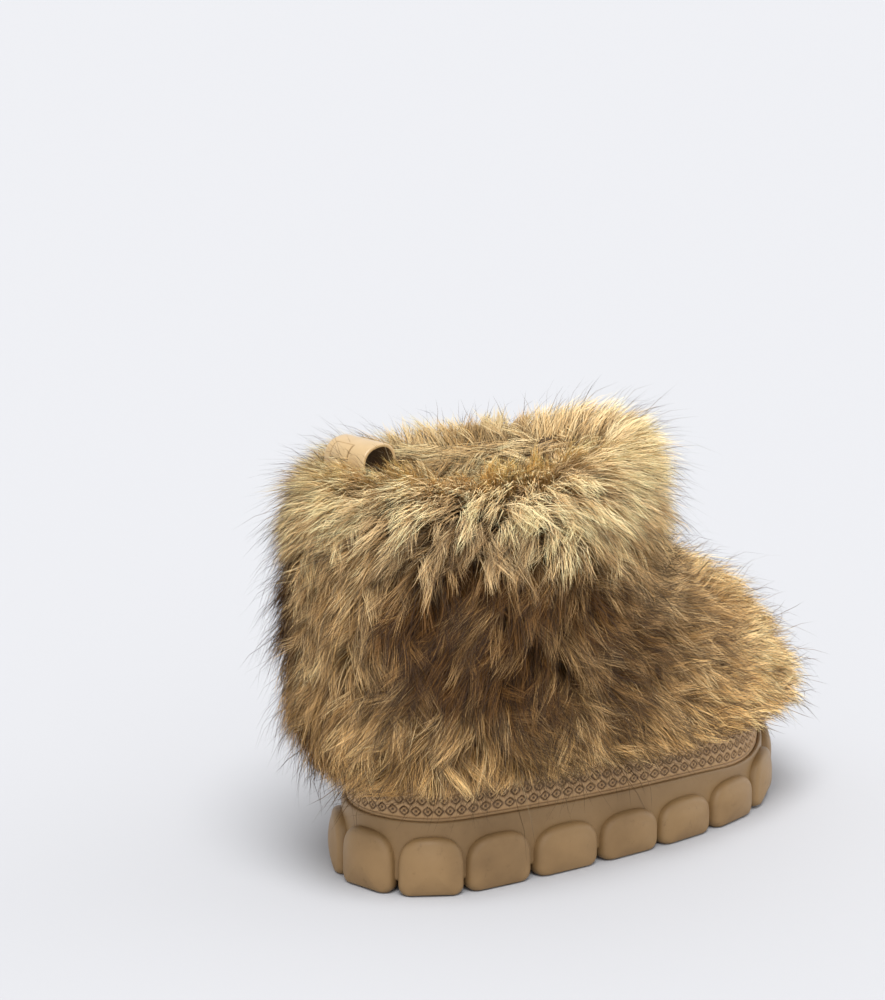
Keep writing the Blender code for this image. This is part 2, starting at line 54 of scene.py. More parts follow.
bootSizes = {
    "length": 290.0,
    "lugDepth": 4.6,
    "sideTaper": 0.8,
    "rim": 2.2,
    "bodyBottom": 6.0,
    "heelSideHeight": 38.4,
    "sideFall": 10.0,
    "sideDip": 2.5,
    "sideDipAt": 228.0,
    "sideDipWide": 30.0,
    "toeSpring": 9.4,
    "toeSpringFrom": 0.72,
    "cupFloor": 24.0,
    "shellWall": 2.4,
    "shellLean": 1.6,
    "shellTopHeel": 61.0,
    "shellTopToe": 66.0,
    "upperWall": 3.0,
    "gap": 0.3,
}
shellOut = bootSizes["lugDepth"] + bootSizes["sideTaper"] + bootSizes["rim"] + bootSizes["gap"]

# share of the length, side in mm, in order from the heel back round the outer side
edgePoints = np.array([
    (0.000, 0.0), (0.055, -35.7), (0.160, -48.2), (0.380, -60.2), (0.640, -67.0),
    (0.840, -57.0), (0.965, -24.5), (1.000, 7.0), (0.966, 34.0), (0.870, 50.0),
    (0.700, 54.0), (0.420, 49.0), (0.160, 49.0), (0.055, 36.5),
])


# camera, light and floor

cameraView = {
    "position": (-1.23476, -1.20099, 0.60826),
    "azimuth": -43.734,
    "elevation": 14.132,
    "lens": 123.87,
}


def makeCamera():
    turn, rise = math.radians(cameraView["azimuth"]), math.radians(cameraView["elevation"])
    back = Vector((math.sin(turn) * math.cos(rise), -math.cos(turn) * math.cos(rise), math.sin(rise)))
    right = Vector((0, 0, 1)).cross(back).normalized()
    up = back.cross(right)
    camera = bpy.data.cameras.new("camera")
    camera.lens = cameraView["lens"]
    camera.sensor_width = 36.0
    camera.clip_end = 100.0
    cameraObject = bpy.data.objects.new("camera", camera)
    bpy.context.scene.collection.objects.link(cameraObject)
    cameraObject.matrix_world = (
        Matrix.Translation(Vector(cameraView["position"]))
        @ Matrix((right, up, back)).transposed().to_4x4()
    )
    bpy.context.scene.camera = cameraObject


light = {
    "world": (0.97, 0.97, 0.98),
    "worldStrength": 0.80,
    "keyStrength": 3.6,
    "keyAngle": 34.0,
    "keyFrom": (-0.30, -0.30, 1.0),
    "fillStrength": 0.6,
    "fillFrom": (-0.75, -0.85, 0.45),
    "sideStrength": 0.65,
    "sideFrom": (0.90, -0.40, 0.30),
    "floor": (0.442, 0.446, 0.463),
}


def makeStage():
    world = bpy.data.worlds.new("studio")
    bpy.context.scene.world = world
    world.use_nodes = True
    background = world.node_tree.nodes["Background"]
    background.inputs["Color"].default_value = (*light["world"], 1.0)
    background.inputs["Strength"].default_value = light["worldStrength"]
    for name, strength, origin, angle in (
        ("key", light["keyStrength"], light["keyFrom"], light["keyAngle"]),
        ("fill", light["fillStrength"], light["fillFrom"], 60.0),
        ("side", light["sideStrength"], light["sideFrom"], 50.0),
    ):
        sun = bpy.data.lights.new(name, "SUN")
        sun.energy = strength
        sun.angle = math.radians(angle)
        lamp = bpy.data.objects.new(name, sun)
        bpy.context.scene.collection.objects.link(lamp)
        lamp.rotation_euler = Vector(origin).to_track_quat("Z", "Y").to_euler()
    floorMaterial = bpy.data.materials.new("floor")
    floorMaterial.use_nodes = True
    shader = floorMaterial.node_tree.nodes["Principled BSDF"]
    shader.inputs["Base Color"].default_value = (*light["floor"], 1.0)
    shader.inputs["Roughness"].default_value = 0.9
    shader.inputs["Specular IOR Level"].default_value = 0.0
    mesh = bpy.data.meshes.new("floor")
    mesh.from_pydata([(-30, -30, 0), (30, -30, 0), (30, 30, 0), (-30, 30, 0)], [], [(0, 1, 2, 3)])
    mesh.materials.append(floorMaterial)
    floor = bpy.data.objects.new("floor", mesh)
    bpy.context.scene.collection.objects.link(floor)
    bpy.context.scene.view_settings.view_transform = "Standard"


makeCamera()
makeStage()
print("camera, lights and floor are in place")


# tools for meshes and materials

# millimetres from the heel back -> metres in the frame, which starts at the sole's middle
def placed(points):
    return (np.asarray(points, float) - (bootSizes["length"] / 2, 0.0, 0.0)) * 0.001


# a mesh object from whole arrays: faces is one array of quads, or a list of arrays of quads and triangles
def makeObject(name, points, faces, materials, faceMaterials=None):
    mesh = bpy.data.meshes.new(name)
    faces = [np.asarray(group) for group in (faces if isinstance(faces, list) else [faces])]
    corners = np.concatenate([group.ravel() for group in faces])
    sizes = np.concatenate([np.full(len(group), group.shape[1]) for group in faces])
    mesh.vertices.add(len(points))
    mesh.vertices.foreach_set("co", np.ascontiguousarray(points, np.float32).ravel())
    mesh.loops.add(len(corners))
    mesh.loops.foreach_set("vertex_index", corners.astype(np.int32))
    mesh.polygons.add(len(sizes))
    mesh.polygons.foreach_set("loop_start", np.concatenate([[0], np.cumsum(sizes)[:-1]]).astype(np.int32))
    mesh.polygons.foreach_set("use_smooth", np.ones(len(sizes), bool))
    if faceMaterials is not None:
        mesh.polygons.foreach_set("material_index", np.asarray(faceMaterials, np.int32))
    mesh.update(calc_edges=True)
    mesh.validate()
    for material in materials:
        mesh.materials.append(material)
    made = bpy.data.objects.new(name, mesh)
    bpy.context.scene.collection.objects.link(made)
    return made


# quads of a grid whose columns close on themselves; closeRows joins its last row to its first
def ringFaces(rows, columns, closeRows=False):
    row = np.arange(rows if closeRows else rows - 1)[:, None]
    column = np.arange(columns)[None, :]
    after, below = (column + 1) % columns, (row + 1) % rows
    return np.stack([
        row * columns + column, row * columns + after, below * columns + after, below * columns + column,
    ], -1).reshape(-1, 4)


# signed volume of a closed mesh of quads, by summing the tetrahedra to the origin
def volumeOf(points, quads):
    a, b, c, d = (points[quads[:, k]] for k in range(4))
    return (np.einsum("ij,ij->i", a, np.cross(b, c)) + np.einsum("ij,ij->i", a, np.cross(c, d))).sum() / 6


# the faces turned round where a closed mesh is inside out; caps, its faces at the ends, turn with the quads
def outward(points, quads, caps=None):
    turned = volumeOf(points, quads) < 0
    if caps is None:
        return quads[:, ::-1] if turned else quads
    return (quads[:, ::-1], caps[:, ::-1]) if turned else (quads, caps)


# 0 below low, 1 above high, and share^2 x (3 - 2 share) between them
def smoothStep(value, low, high):
    share = np.clip((np.asarray(value, float) - low) / (high - low), 0.0, 1.0)
    return share * share * (3.0 - 2.0 * share)


def newMaterial(name, colour, roughness):
    material = bpy.data.materials.new(name)
    material.use_nodes = True
    shader = material.node_tree.nodes["Principled BSDF"]
    shader.inputs["Base Color"].default_value = (*colour, 1.0)
    shader.inputs["Roughness"].default_value = roughness
    return material, material.node_tree, shader


def addNode(tree, kind, **values):
    node = tree.nodes.new(kind)
    for key, value in values.items():
        if key in node.inputs:
            node.inputs[key].default_value = value
        else:
            setattr(node, key, value)
    return node


def noiseOf(tree, scale, detail=4.0, roughness=0.55):
    place = addNode(tree, "ShaderNodeTexCoord")
    noise = addNode(tree, "ShaderNodeTexNoise", Scale=scale, Detail=detail, Roughness=roughness)
    tree.links.new(place.outputs["Object"], noise.inputs["Vector"])
    return noise


def rampOf(tree, source, stops):
    ramp = addNode(tree, "ShaderNodeValToRGB")
    elements = ramp.color_ramp.elements
    while len(elements) < len(stops):
        elements.new(0.5)
    for element, (place, colour) in zip(elements, stops):
        element.position = place
        element.color = (*colour, 1.0)
    tree.links.new(source, ramp.inputs["Fac"])
    return ramp


def mixOf(tree, factor, first, second, kind="MIX"):
    mix = tree.nodes.new("ShaderNodeMix")
    mix.data_type = "RGBA"
    mix.blend_type = kind
    for socket, value in ((mix.inputs[0], factor), (mix.inputs[6], first), (mix.inputs[7], second)):
        if hasattr(value, "links"):
            tree.links.new(value, socket)
        elif isinstance(value, (int, float)):
            socket.default_value = value
        else:
            socket.default_value = (*value, 1.0)
    return mix.outputs[2]


def bumpOf(tree, height, strength, distance, under=None):
    bump = addNode(tree, "ShaderNodeBump", Strength=strength, Distance=distance)
    tree.links.new(height, bump.inputs["Height"])
    if under is not None:
        tree.links.new(under.outputs["Normal"], bump.inputs["Normal"])
    return bump


# the surface's colour from a noise, through a ramp
def mottle(tree, shader, noise, stops):
    shade = rampOf(tree, noise.outputs["Fac"], stops)
    tree.links.new(shade.outputs["Color"], shader.inputs["Base Color"])


# the surface's bumps from a noise
def roughen(tree, shader, noise, strength, distance):
    bump = bumpOf(tree, noise.outputs["Fac"], strength, distance)
    tree.links.new(bump.outputs["Normal"], shader.inputs["Normal"])


# the boot's outline, from above

# closed cubic with continuous bend: the second derivatives solve one cyclic linear system
def closedSpline(points, count):
    n = len(points)
    span = np.linalg.norm(np.roll(points, -1, 0) - points, axis=1) ** 0.5
    before = np.roll(span, 1)
    slope = (np.roll(points, -1, 0) - points) / span[:, None]
    system = np.diag(2 * (before + span)) + np.roll(np.diag(span), 1, 1) + np.roll(np.diag(before), -1, 1)
    bend = np.linalg.solve(system, 6 * (slope - np.roll(slope, 1, 0)))
    knots = np.concatenate([[0.0], np.cumsum(span)])
    places = np.linspace(0.0, knots[-1], count, endpoint=False)
    piece = np.clip(np.searchsorted(knots, places, side="right") - 1, 0, n - 1)
    after = (piece + 1) % n
    h = span[piece][:, None]
    a = (knots[piece + 1] - places)[:, None]
    b = (places - knots[piece])[:, None]
    return (bend[piece] * a**3 / (6 * h) + bend[after] * b**3 / (6 * h)
            + (points[piece] / h - bend[piece] * h / 6) * a
            + (points[after] / h - bend[after] * h / 6) * b)


# the closed loop again, at points evenly spaced along its length
def evenLoop(loop, count):
    ring = np.vstack([loop, loop[:1]])
    run = np.concatenate([[0.0], np.cumsum(np.linalg.norm(np.diff(ring, axis=0), axis=1))])
    places = np.arange(count) * run[-1] / count
    return np.stack([np.interp(places, run, ring[:, k]) for k in range(loop.shape[1])], -1)


fineCount = 1440
edgeLoop = evenLoop(closedSpline(edgePoints * (bootSizes["length"], 1.0), 4 * fineCount), fineCount)
edgeAlong = np.roll(edgeLoop, -1, 0) - np.roll(edgeLoop, 1, 0)
edgeOut = np.stack([-edgeAlong[:, 1], edgeAlong[:, 0]], -1) / np.linalg.norm(edgeAlong, axis=1)[:, None]
if np.sum((edgeLoop - edgeLoop.mean(0)) * edgeOut) < 0:
    edgeOut = -edgeOut
edgeRun = np.linalg.norm(np.roll(edgeLoop, -1, 0) - edgeLoop, axis=1).sum()


# points at a run along the edge, drawn in along its normal; any shape of arrays
def onEdge(run, drawnIn):
    place = (np.asarray(run, float) / edgeRun * fineCount) % fineCount
    low = np.floor(place).astype(int) % fineCount
    high = (low + 1) % fineCount
    share = (place - np.floor(place))[..., None]
    point = edgeLoop[low] * (1 - share) + edgeLoop[high] * share
    out = edgeOut[low] * (1 - share) + edgeOut[high] * share
    return point - out * np.asarray(drawnIn, float)[..., None]


# the outline drawn in, with point i opposite point count - i at the same x
def inset(drawnIn, count):
    loop = edgeLoop - edgeOut * drawnIn
    loop = np.roll(loop, -np.argmin(loop[:, 0]), 0)
    front = np.argmax(loop[:, 0])
    outer = loop[:front + 1]
    inner = np.vstack([loop[front:], loop[:1]])[::-1]
    half = count // 2
    ahead = (1 - np.cos(np.arange(half + 1) / half * math.pi)) / 2
    x = loop[:, 0].min() + ahead * np.ptp(loop[:, 0])
    outerY = np.interp(x, outer[:, 0], outer[:, 1])
    innerY = np.interp(x, inner[:, 0], inner[:, 1])
    return np.vstack([np.column_stack([x, outerY]), np.column_stack([x, innerY])[half - 1:0:-1]])


# how much the toe spring lifts the sole: spring x (how far past its start)^2
def toeLift(x):
    share = np.asarray(x, float) / bootSizes["length"] - bootSizes["toeSpringFrom"]
    return bootSizes["toeSpring"] * (np.clip(share, 0, None) / (1 - bootSizes["toeSpringFrom"])) ** 2


# top edge of the sole's side: falls evenly to the toe, rises with the spring, and dips before the toe
def sideTop(x):
    x = np.asarray(x, float)
    dip = bootSizes["sideDip"] * np.exp(-((x - bootSizes["sideDipAt"]) / bootSizes["sideDipWide"]) ** 2)
    return bootSizes["heelSideHeight"] - bootSizes["sideFall"] * x / bootSizes["length"] + toeLift(x) - dip


# top edge of the shell: rises evenly to the toe, with half the toe spring
def shellTop(x):
    rise = bootSizes["shellTopToe"] - bootSizes["shellTopHeel"]
    return bootSizes["shellTopHeel"] + rise * np.asarray(x, float) / bootSizes["length"] + toeLift(x) * 0.5


# outsole

sole = {
    "lugCount": 18,
    "lugShift": 2.7,
    "lugSlide": 4.2,                    # the side lugs sit this far towards the toe from an even spacing
    "lugSlideFrom": (70.0, 160.0),
    "lugSlideTo": (290.0, 380.0),
    "lugGap": 2.6,
    "lugBelowEdge": (7.0, 10.2, 2.4),   # at the heel, along the sides, at the toe
    "lugReach": 25.0,                   # how far a lug's root runs in under the sole, at most
    "lugShoulder": 0.42,                # where the arch starts to round, as a share of the height
    "lugMiddle": 0.47,
    "blockCount": 5,
    "blockPitch": 36.0,
    "block": (13.0, 17.0, 5.0),         # half its length, half its width, its cut corners
    "blockHeight": 7.5,
    "lugBevel": 4.2,
    "lugFootBevel": 0.4,                # the share of it at the foot
    "lugCrown": 1.8,
    "lugFoot": 5.0,
    "archPower": 2.65,
    "archPoints": 48,
    "colour": (0.256, 0.154, 0.064),
    "dark": (0.180, 0.105, 0.042),
    "pale": (0.308, 0.193, 0.084),
    "soil": 0.55,
}


# closes a ring with strips between opposite points; its two ends are triangles
def stripsAcross(start, count):
    half = count // 2
    i = np.arange(1, half - 1)
    quads = np.stack([start + i, start + i + 1, start + count - i - 1, start + count - i], -1)
    ends = np.array([
        (start, start + 1, start + count - 1),
        (start + half - 1, start + half, start + half + 1),
    ])
    return quads, ends


# a lug seen from the front: flat foot, upright sides, round top; pairs of (along, up)
def archOf(half, height):
    power = 2.0 / sole["archPower"]
    shoulder = height * sole["lugShoulder"]
    turn = np.linspace(0.0, math.pi, sole["archPoints"])
    across = half * np.sign(np.cos(turn)) * np.abs(np.cos(turn)) ** power
    up = shoulder + (height - shoulder) * np.sin(turn) ** power
    corner = np.linspace(0.0, math.pi / 2, 5)
    foot = sole["lugFoot"]
    right = np.stack([half - foot + foot * np.sin(corner), foot - foot * np.cos(corner)], -1)
    left = right[::-1] * (-1, 1)
    return np.vstack([right, np.stack([across, up], -1), left])


# tightest radius of the edge within half of a run, from how fast its normal turns
def turnRadius(run, half):
    step = edgeRun / fineCount
    turned = np.arctan2(edgeOut[:, 1], edgeOut[:, 0])
    bend = np.abs(np.angle(np.exp(1j * (np.roll(turned, -12) - np.roll(turned, 12))))) / (24 * step)
    around = (int(run / step) + np.arange(-int(half / step), int(half / step) + 1)) % fineCount
    return 1.0 / bend[around].max()


# each lug's middle along the edge, and its half width: evenly spaced, then slid along the sides
def lugPlaces():
    even = sole["lugShift"] + np.arange(sole["lugCount"]) * edgeRun / sole["lugCount"]
    fromHeel = np.minimum(even, edgeRun - even)
    slide = sole["lugSlide"] * smoothStep(fromHeel, *sole["lugSlideFrom"])
    slide *= 1 - smoothStep(fromHeel, *sole["lugSlideTo"])
    middle = even + np.where(even < edgeRun / 2, slide, -slide)
    ahead = np.append(middle[1:], middle[0] + edgeRun)
    behind = np.append(middle[-1] - edgeRun, middle[:-1])
    return middle, (ahead - behind) / 4 - sole["lugGap"] / 2


# rings of one lug, from its root under the sole out to its face: each is the arch, clipped or drawn in,
# at a distance from the edge
def lugMesh(middle, half):
    centre = onEdge(middle, 0.0)
    heel, side, toe = sole["lugBelowEdge"]
    below = heel + (side - heel) * smoothStep(centre[0], 0, 100)
    below += (toe - side) * smoothStep(centre[0], 160, 255)
    height = float(sideTop(centre[0]) - below - toeLift(centre[0]))
    depth = bootSizes["lugDepth"]
    arch = archOf(half, height)
    low = arch.copy()
    low[:, 1] = np.minimum(low[:, 1], bootSizes["bodyBottom"] + 1.5)
    reach = min(sole["lugReach"], 0.62 * turnRadius(middle, half + sole["lugGap"] / 2))
    mid = np.array([0.0, height * sole["lugMiddle"]])
    rings = [(low, reach, 0.82), (low, depth + 4.5, 0.96), (arch, depth + 2.6, 1.02)]
    rings.append((arch, sole["lugBevel"] + 0.3, 1.005))
    room = np.column_stack([np.full(len(arch), half), np.full(len(arch), height * 0.5)])
    room[arch[:, 1] < mid[1], 1] /= sole["lugFootBevel"]
    for step in np.linspace(0.0, 1.0, 6):  # the rounded edge of the face
        angle = step * math.pi / 2
        drawn = sole["lugBevel"] * (1 - math.cos(angle))
        shrink = 1 - drawn / room
        rings.append((mid + (arch - mid) * shrink, sole["lugBevel"] * (1 - math.sin(angle)), 1.0))
    for share in (0.86, 0.7, 0.5, 0.25):
        crown = -sole["lugCrown"] * (1 - share**2)
        shrink = share * (1 - sole["lugBevel"] / room)
        rings.append((mid + (arch - mid) * shrink, crown, 1.0))
    rows = []
    for shape, drawnIn, spread in rings:
        plan = onEdge(middle + shape[:, 0] * spread, np.full(len(shape), drawnIn))
        rows.append(np.column_stack([plan, shape[:, 1] + toeLift(plan[:, 0])]))
    tipPlan = onEdge(middle, -sole["lugCrown"])
    ends = np.array([rows[0].mean(0), (*tipPlan, mid[1] + float(toeLift(centre[0])))])
    return np.array(rows), ends


def soleMaterial():
    material, tree, shader = newMaterial("sole rubber", sole["colour"], 0.5)
    shader.inputs["Specular IOR Level"].default_value = 0.42
    broad = noiseOf(tree, 14.0, 5.0, 0.6)
    tones = [(0.3, sole["dark"]), (0.52, sole["colour"]), (0.78, sole["pale"])]
    shade = rampOf(tree, broad.outputs["Fac"], tones)
    soil = noiseOf(tree, 210.0, 6.0, 0.7)
    specks = rampOf(tree, soil.outputs["Fac"], [(0.28, (0.62, 0.58, 0.52)), (0.40, (1, 1, 1))])
    soiled = mixOf(tree, sole["soil"], shade.outputs["Color"], specks.outputs["Color"], "MULTIPLY")
    tree.links.new(soiled, shader.inputs["Base Color"])
    gloss = rampOf(tree, broad.outputs["Fac"], [(0.3, (0.62, 0.62, 0.62)), (0.7, (0.42, 0.42, 0.42))])
    tree.links.new(gloss.outputs["Color"], shader.inputs["Roughness"])
    grain = noiseOf(tree, 900.0, 3.0, 0.6)
    fine = bumpOf(tree, grain.outputs["Fac"], 0.25, 0.0003)
    wave = bumpOf(tree, broad.outputs["Fac"], 0.25, 0.002, fine)
    tree.links.new(wave.outputs["Normal"], shader.inputs["Normal"])
    return material


def makeSole():
    count = 300
    wallIn = bootSizes["lugDepth"]
    profile = [  # distance in from the lugs' faces, height, whether it follows the side's top edge
        (wallIn + 3.4, 6.0, 0), (wallIn + 2.0, 6.0, 0), (wallIn + 0.8, 6.5, 0), (wallIn + 0.15, 7.4, 0),
        (wallIn, 8.6, 0), (wallIn + 0.2, 16.0, 0), (wallIn + 0.55, -7.0, 1), (wallIn + 0.7, -2.0, 1),
        (wallIn + 0.8, -1.1, 1), (wallIn + 1.0, -0.5, 1), (wallIn + 1.35, -0.1, 1), (wallIn + 1.8, 0.0, 1),
        (wallIn + 2.5, 0.0, 1), (wallIn + 2.85, -0.15, 1), (wallIn + 3.0, -0.5, 1), (wallIn + 3.0, -4.0, 1),
        (wallIn + 3.0, bootSizes["cupFloor"], 0),
    ]
    rows = []
    for drawnIn, height, fromTop in profile:
        loop = inset(drawnIn, count)
        z = (sideTop(loop[:, 0]) if fromTop else toeLift(loop[:, 0])) + height
        rows.append(np.column_stack([loop, z]))
    points = np.vstack(rows)
    quads = ringFaces(len(rows), count)
    under, underEnds = stripsAcross(0, count)
    over, overEnds = stripsAcross((len(rows) - 1) * count, count)
    quads = np.vstack([quads, under[:, ::-1], over])
    ends = np.vstack([underEnds[:, ::-1], overEnds])
    quads, ends = outward(points, quads, ends)
    allPoints, allQuads, allTris, start = [points], [quads], [ends], len(points)
    for middle, half in zip(*lugPlaces()):
        grid, tips = lugMesh(middle, half)
        rowsHere, columns = grid.shape[:2]
        body = np.vstack([grid.reshape(-1, 3), tips])
        faces = ringFaces(rowsHere, columns)
        ringStart = np.arange(columns)
        after = (ringStart + 1) % columns
        last = (rowsHere - 1) * columns
        fans = np.vstack([
            np.stack([after, ringStart, np.full(columns, rowsHere * columns)], -1),
            np.stack([last + ringStart, last + after, np.full(columns, rowsHere * columns + 1)], -1),
        ])
        faces, fans = outward(body, faces, fans)
        allPoints.append(body)
        allQuads.append(faces + start)
        allTris.append(fans + start)
        start += len(body)
    for index in range(sole["blockCount"]):
        body, faces = treadBlock(index - sole["blockCount"] // 2)
        allPoints.append(body)
        allQuads.append(faces + start)
        start += len(body)
    faces = [np.vstack(allQuads), np.vstack(allTris)]
    piece = makeObject("sole", placed(np.vstack(allPoints)), faces, [soleMaterial()])
    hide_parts("outsole")
    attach(piece, "root")


# a block of the sole's middle row: cut corners, drawn in at its foot, with a slit of a ring at each end
def treadBlock(index):
    long, wide, cut = sole["block"]
    high = sole["blockHeight"]
    plan = np.array([
        (long, -wide + cut), (long, wide - cut), (long - cut, wide), (-long + cut, wide),
        (-long, wide - cut), (-long, -wide + cut), (-long + cut, -wide), (long - cut, -wide),
    ])
    rows = []
    for share, height in ((0.02, 0.0), (0.90, 0.0), (0.95, 0.4), (0.97, 1.0), (1.0, high), (0.02, high)):
        here = plan * share + (bootSizes["length"] / 2 + index * sole["blockPitch"], 0.0)
        rows.append(np.column_stack([here, height + toeLift(here[:, 0])]))
    points = np.vstack(rows)
    last = (len(rows) - 1) * 8
    caps = np.array([(0, 1, 2, 3), (0, 3, 4, 7), (7, 4, 5, 6)])
    quads = np.vstack([ringFaces(len(rows), 8), caps[:, ::-1], caps + last])
    return points, outward(points, quads)


makeSole()
print("outsole is built")


# shell, with its moulded band

shell = {
    "columns": 1080,
    "motifPitch": 7.2,
    "rowHeight": 5.6,
    "bandHeel": 12.5,
    "bandToe": 20.0,
    "bandStart": 2.0,
    "lozengePower": 1.3,
    "lozenge": 0.78,
    "relief": 0.8,
    "colour": (0.405, 0.238, 0.104),
    "pale": (0.510, 0.318, 0.150),
    # dark: painted shade, which darkens the band's pressed lines, dots and edge grooves
    "dark": (0.100, 0.055, 0.025),      # in the lines of the band
}


# moulded lozenges in brick rows, each with a dot: how deep the surface is pressed in, 0 to 1. In a cell
# with u and v from 0 to 1, the line follows (u^1.3 + v^1.3)^(1/1.3) = 0.78 and the dot is its middle;
# a groove runs along the band's foot and another along its top
def bandRelief(run, height):
    widening = smoothStep(onEdge(run, 0.0)[..., 0], 60, 270)
    bandTop = shell["bandHeel"] + (shell["bandToe"] - shell["bandHeel"]) * widening
    motifs = round(edgeRun / shell["motifPitch"])
    power = shell["lozengePower"]
    row = np.floor((height - shell["bandStart"]) / shell["rowHeight"])
    across = run / edgeRun * motifs + 0.5 * (row % 2)
    u = np.abs(across - np.floor(across) - 0.5) * 2
    v = np.abs((height - shell["bandStart"]) / shell["rowHeight"] - row - 0.5) * 2
    fromLine = np.abs((u**power + v**power) ** (1 / power) - shell["lozenge"])
    line = 1 - smoothStep(fromLine, 0.09, 0.21)
    dot = 1 - smoothStep(np.hypot(u, v * 0.8), 0.16, 0.30)
    inside = smoothStep(height, shell["bandStart"] - 0.3, shell["bandStart"])
    inside = inside * (1 - smoothStep(height, bandTop - 0.5, bandTop))
    edge = 1 - smoothStep(np.abs(height - shell["bandStart"] + 0.8), 0.2, 0.6)
    edge = np.maximum(edge, 1 - smoothStep(np.abs(height - bandTop - 0.5), 0.2, 0.5))
    return np.clip(np.maximum(np.maximum(line, dot) * inside, edge * 0.55), 0, 1)


def shellMaterial():
    material, tree, shader = newMaterial("shell rubber", shell["colour"], 0.55)
    shader.inputs["Specular IOR Level"].default_value = 0.4
    broad = noiseOf(tree, 20.0, 5.0, 0.6)
    shade = rampOf(tree, broad.outputs["Fac"], [(0.3, shell["colour"]), (0.7, shell["pale"])])
    pressed = addNode(tree, "ShaderNodeAttribute", attribute_name="pressed")
    # painted shade: the colour darkens towards shell dark where the surface is pressed in, in the band's
    # lines, dots and grooves
    grooveShade = mixOf(tree, pressed.outputs["Fac"], shade.outputs["Color"], shell["dark"])
    tree.links.new(grooveShade, shader.inputs["Base Color"])
    roughen(tree, shader, noiseOf(tree, 1000.0, 3.0, 0.6), 0.2, 0.0003)
    return material


# rings from the foot of the outer face up through the band, over the rounded rim and down inside
def makeShell():
    columns = shell["columns"]
    run = np.arange(columns) / columns * edgeRun
    inner = shellOut + bootSizes["shellWall"]
    rows, pressedRows = [], []
    outerHeights = np.concatenate([[-13.0, -4.0, -0.6], np.arange(0.0, 22.6, 0.56), [24.5]])
    for height in outerHeights:
        base = onEdge(run, np.full(columns, shellOut + 0.5))
        top = shellTop(base[:, 0]) - sideTop(base[:, 0])
        lean = shellOut + bootSizes["shellLean"] * smoothStep(height, 4.0, 26.0)
        pressed = bandRelief(run, np.full(columns, height)) if height > 0 else np.zeros(columns)
        plan = onEdge(run, lean + shell["relief"] * pressed)
        z = sideTop(base[:, 0]) + np.minimum(height, top - 1.2)
        if height <= -13.0:
            z = bootSizes["cupFloor"] + bootSizes["gap"] + toeLift(base[:, 0])
        rows.append(np.column_stack([plan, z]))
        pressedRows.append(pressed)
    for drawnIn, kind, up in (
        (shellOut + 1.7, "top", -0.4), (shellOut + 2.3, "top", 0.0), (inner + 1.0, "top", 0.0),
        (inner + 1.2, "top", -0.6), (inner + 0.5, "side", 12.0), (inner, "side", 0.0), (inner, "foot", 0.0),
    ):
        plan = onEdge(run, np.full(columns, drawnIn))
        base = {
            "top": shellTop(plan[:, 0]), "side": sideTop(plan[:, 0]),
            "foot": bootSizes["cupFloor"] + bootSizes["gap"] + toeLift(plan[:, 0]),
        }[kind]
        rows.append(np.column_stack([plan, base + up]))
        pressedRows.append(np.zeros(columns))
    points = np.vstack(rows)
    quads = outward(points, ringFaces(len(rows), columns, closeRows=True))
    piece = makeObject("shell_band", placed(points), quads, [shellMaterial()])
    piece.data.set_sharp_from_angle(angle=math.radians(50))
    # the pressed depth also sets the painted shade in the band's lines and grooves
    layer = piece.data.attributes.new("pressed", "FLOAT", "POINT")
    layer.data.foreach_set("value", np.concatenate(pressedRows).astype(np.float32))
    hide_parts("shell")
    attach(piece, "root")


makeShell()
print("shell is built")


# the upper's skin and the fur's mass

# back x, back z, front x, front z, outer, inner, round, back pile, front pile; from the seat to the collar
skinRows = np.array([
    (10.2, 24.4, 279.4, 24.4, 56.8, 44.0, 0.00, 28.0, 28.0),
    (10.2, 44.0, 279.4, 42.0, 56.8, 44.0, 0.00, 28.0, 28.0),
    (11.2, 61.0, 276.0, 60.0, 55.2, 43.0, 0.04, 21.0, 30.0),
    (10.0, 80.0, 262.0, 80.0, 53.0, 43.5, 0.25, 27.0, 26.0),
    (8.0, 101.0, 230.0, 97.0, 52.5, 45.5, 0.50, 31.0, 27.0),
    (7.0, 122.0, 192.0, 117.0, 53.0, 48.5, 0.75, 31.0, 27.0),
    (8.0, 144.0, 161.0, 142.0, 54.5, 52.0, 0.95, 31.0, 28.0),
    (9.0, 169.0, 151.0, 172.0, 56.0, 54.5, 1.00, 30.0, 30.0),
    (10.0, 195.0, 150.0, 202.0, 57.0, 55.5, 1.00, 28.0, 28.0),
])
fur = {
    "crest": 10.0,
    "hemDrop": (5.0, 17.0),
    "hemLevel": 2.2,
    "hemTuck": 3.0,
    "collarSag": (-3.0, 7.0),  # how much lower the collar is at the outer and the inner side
    "underShare": 0.60,      # how deep in the pile the backing lies, as a share
    "columns": 240,
    # the backing's colours: dark brown undercoat, made darker still as painted shade deep in the pile between
    # the locks
    "backingPale": (0.16, 0.105, 0.058),
    "backingDark": (0.045, 0.030, 0.018),
    "liningPale": (0.46, 0.34, 0.21),
    "liningDark": (0.20, 0.14, 0.08),
    "strands": 199000,
    "clumps": 6600,
    "seed": 11,
}
topLevel = len(skinRows) - 1


# smooth curves through skinRows at fractional levels (Hermite, with central slopes)
def skinTable(level):
    level = np.asarray(level, float)
    low = np.clip(np.floor(level).astype(int), 0, topLevel - 1)
    s = (level - low)[:, None]
    slope = np.gradient(skinRows, axis=0)
    return ((2 * s**3 - 3 * s**2 + 1) * skinRows[low] + (s**3 - 2 * s**2 + s) * slope[low]
            + (3 * s**2 - 2 * s**3) * skinRows[low + 1] + (s**3 - s**2) * slope[low + 1])


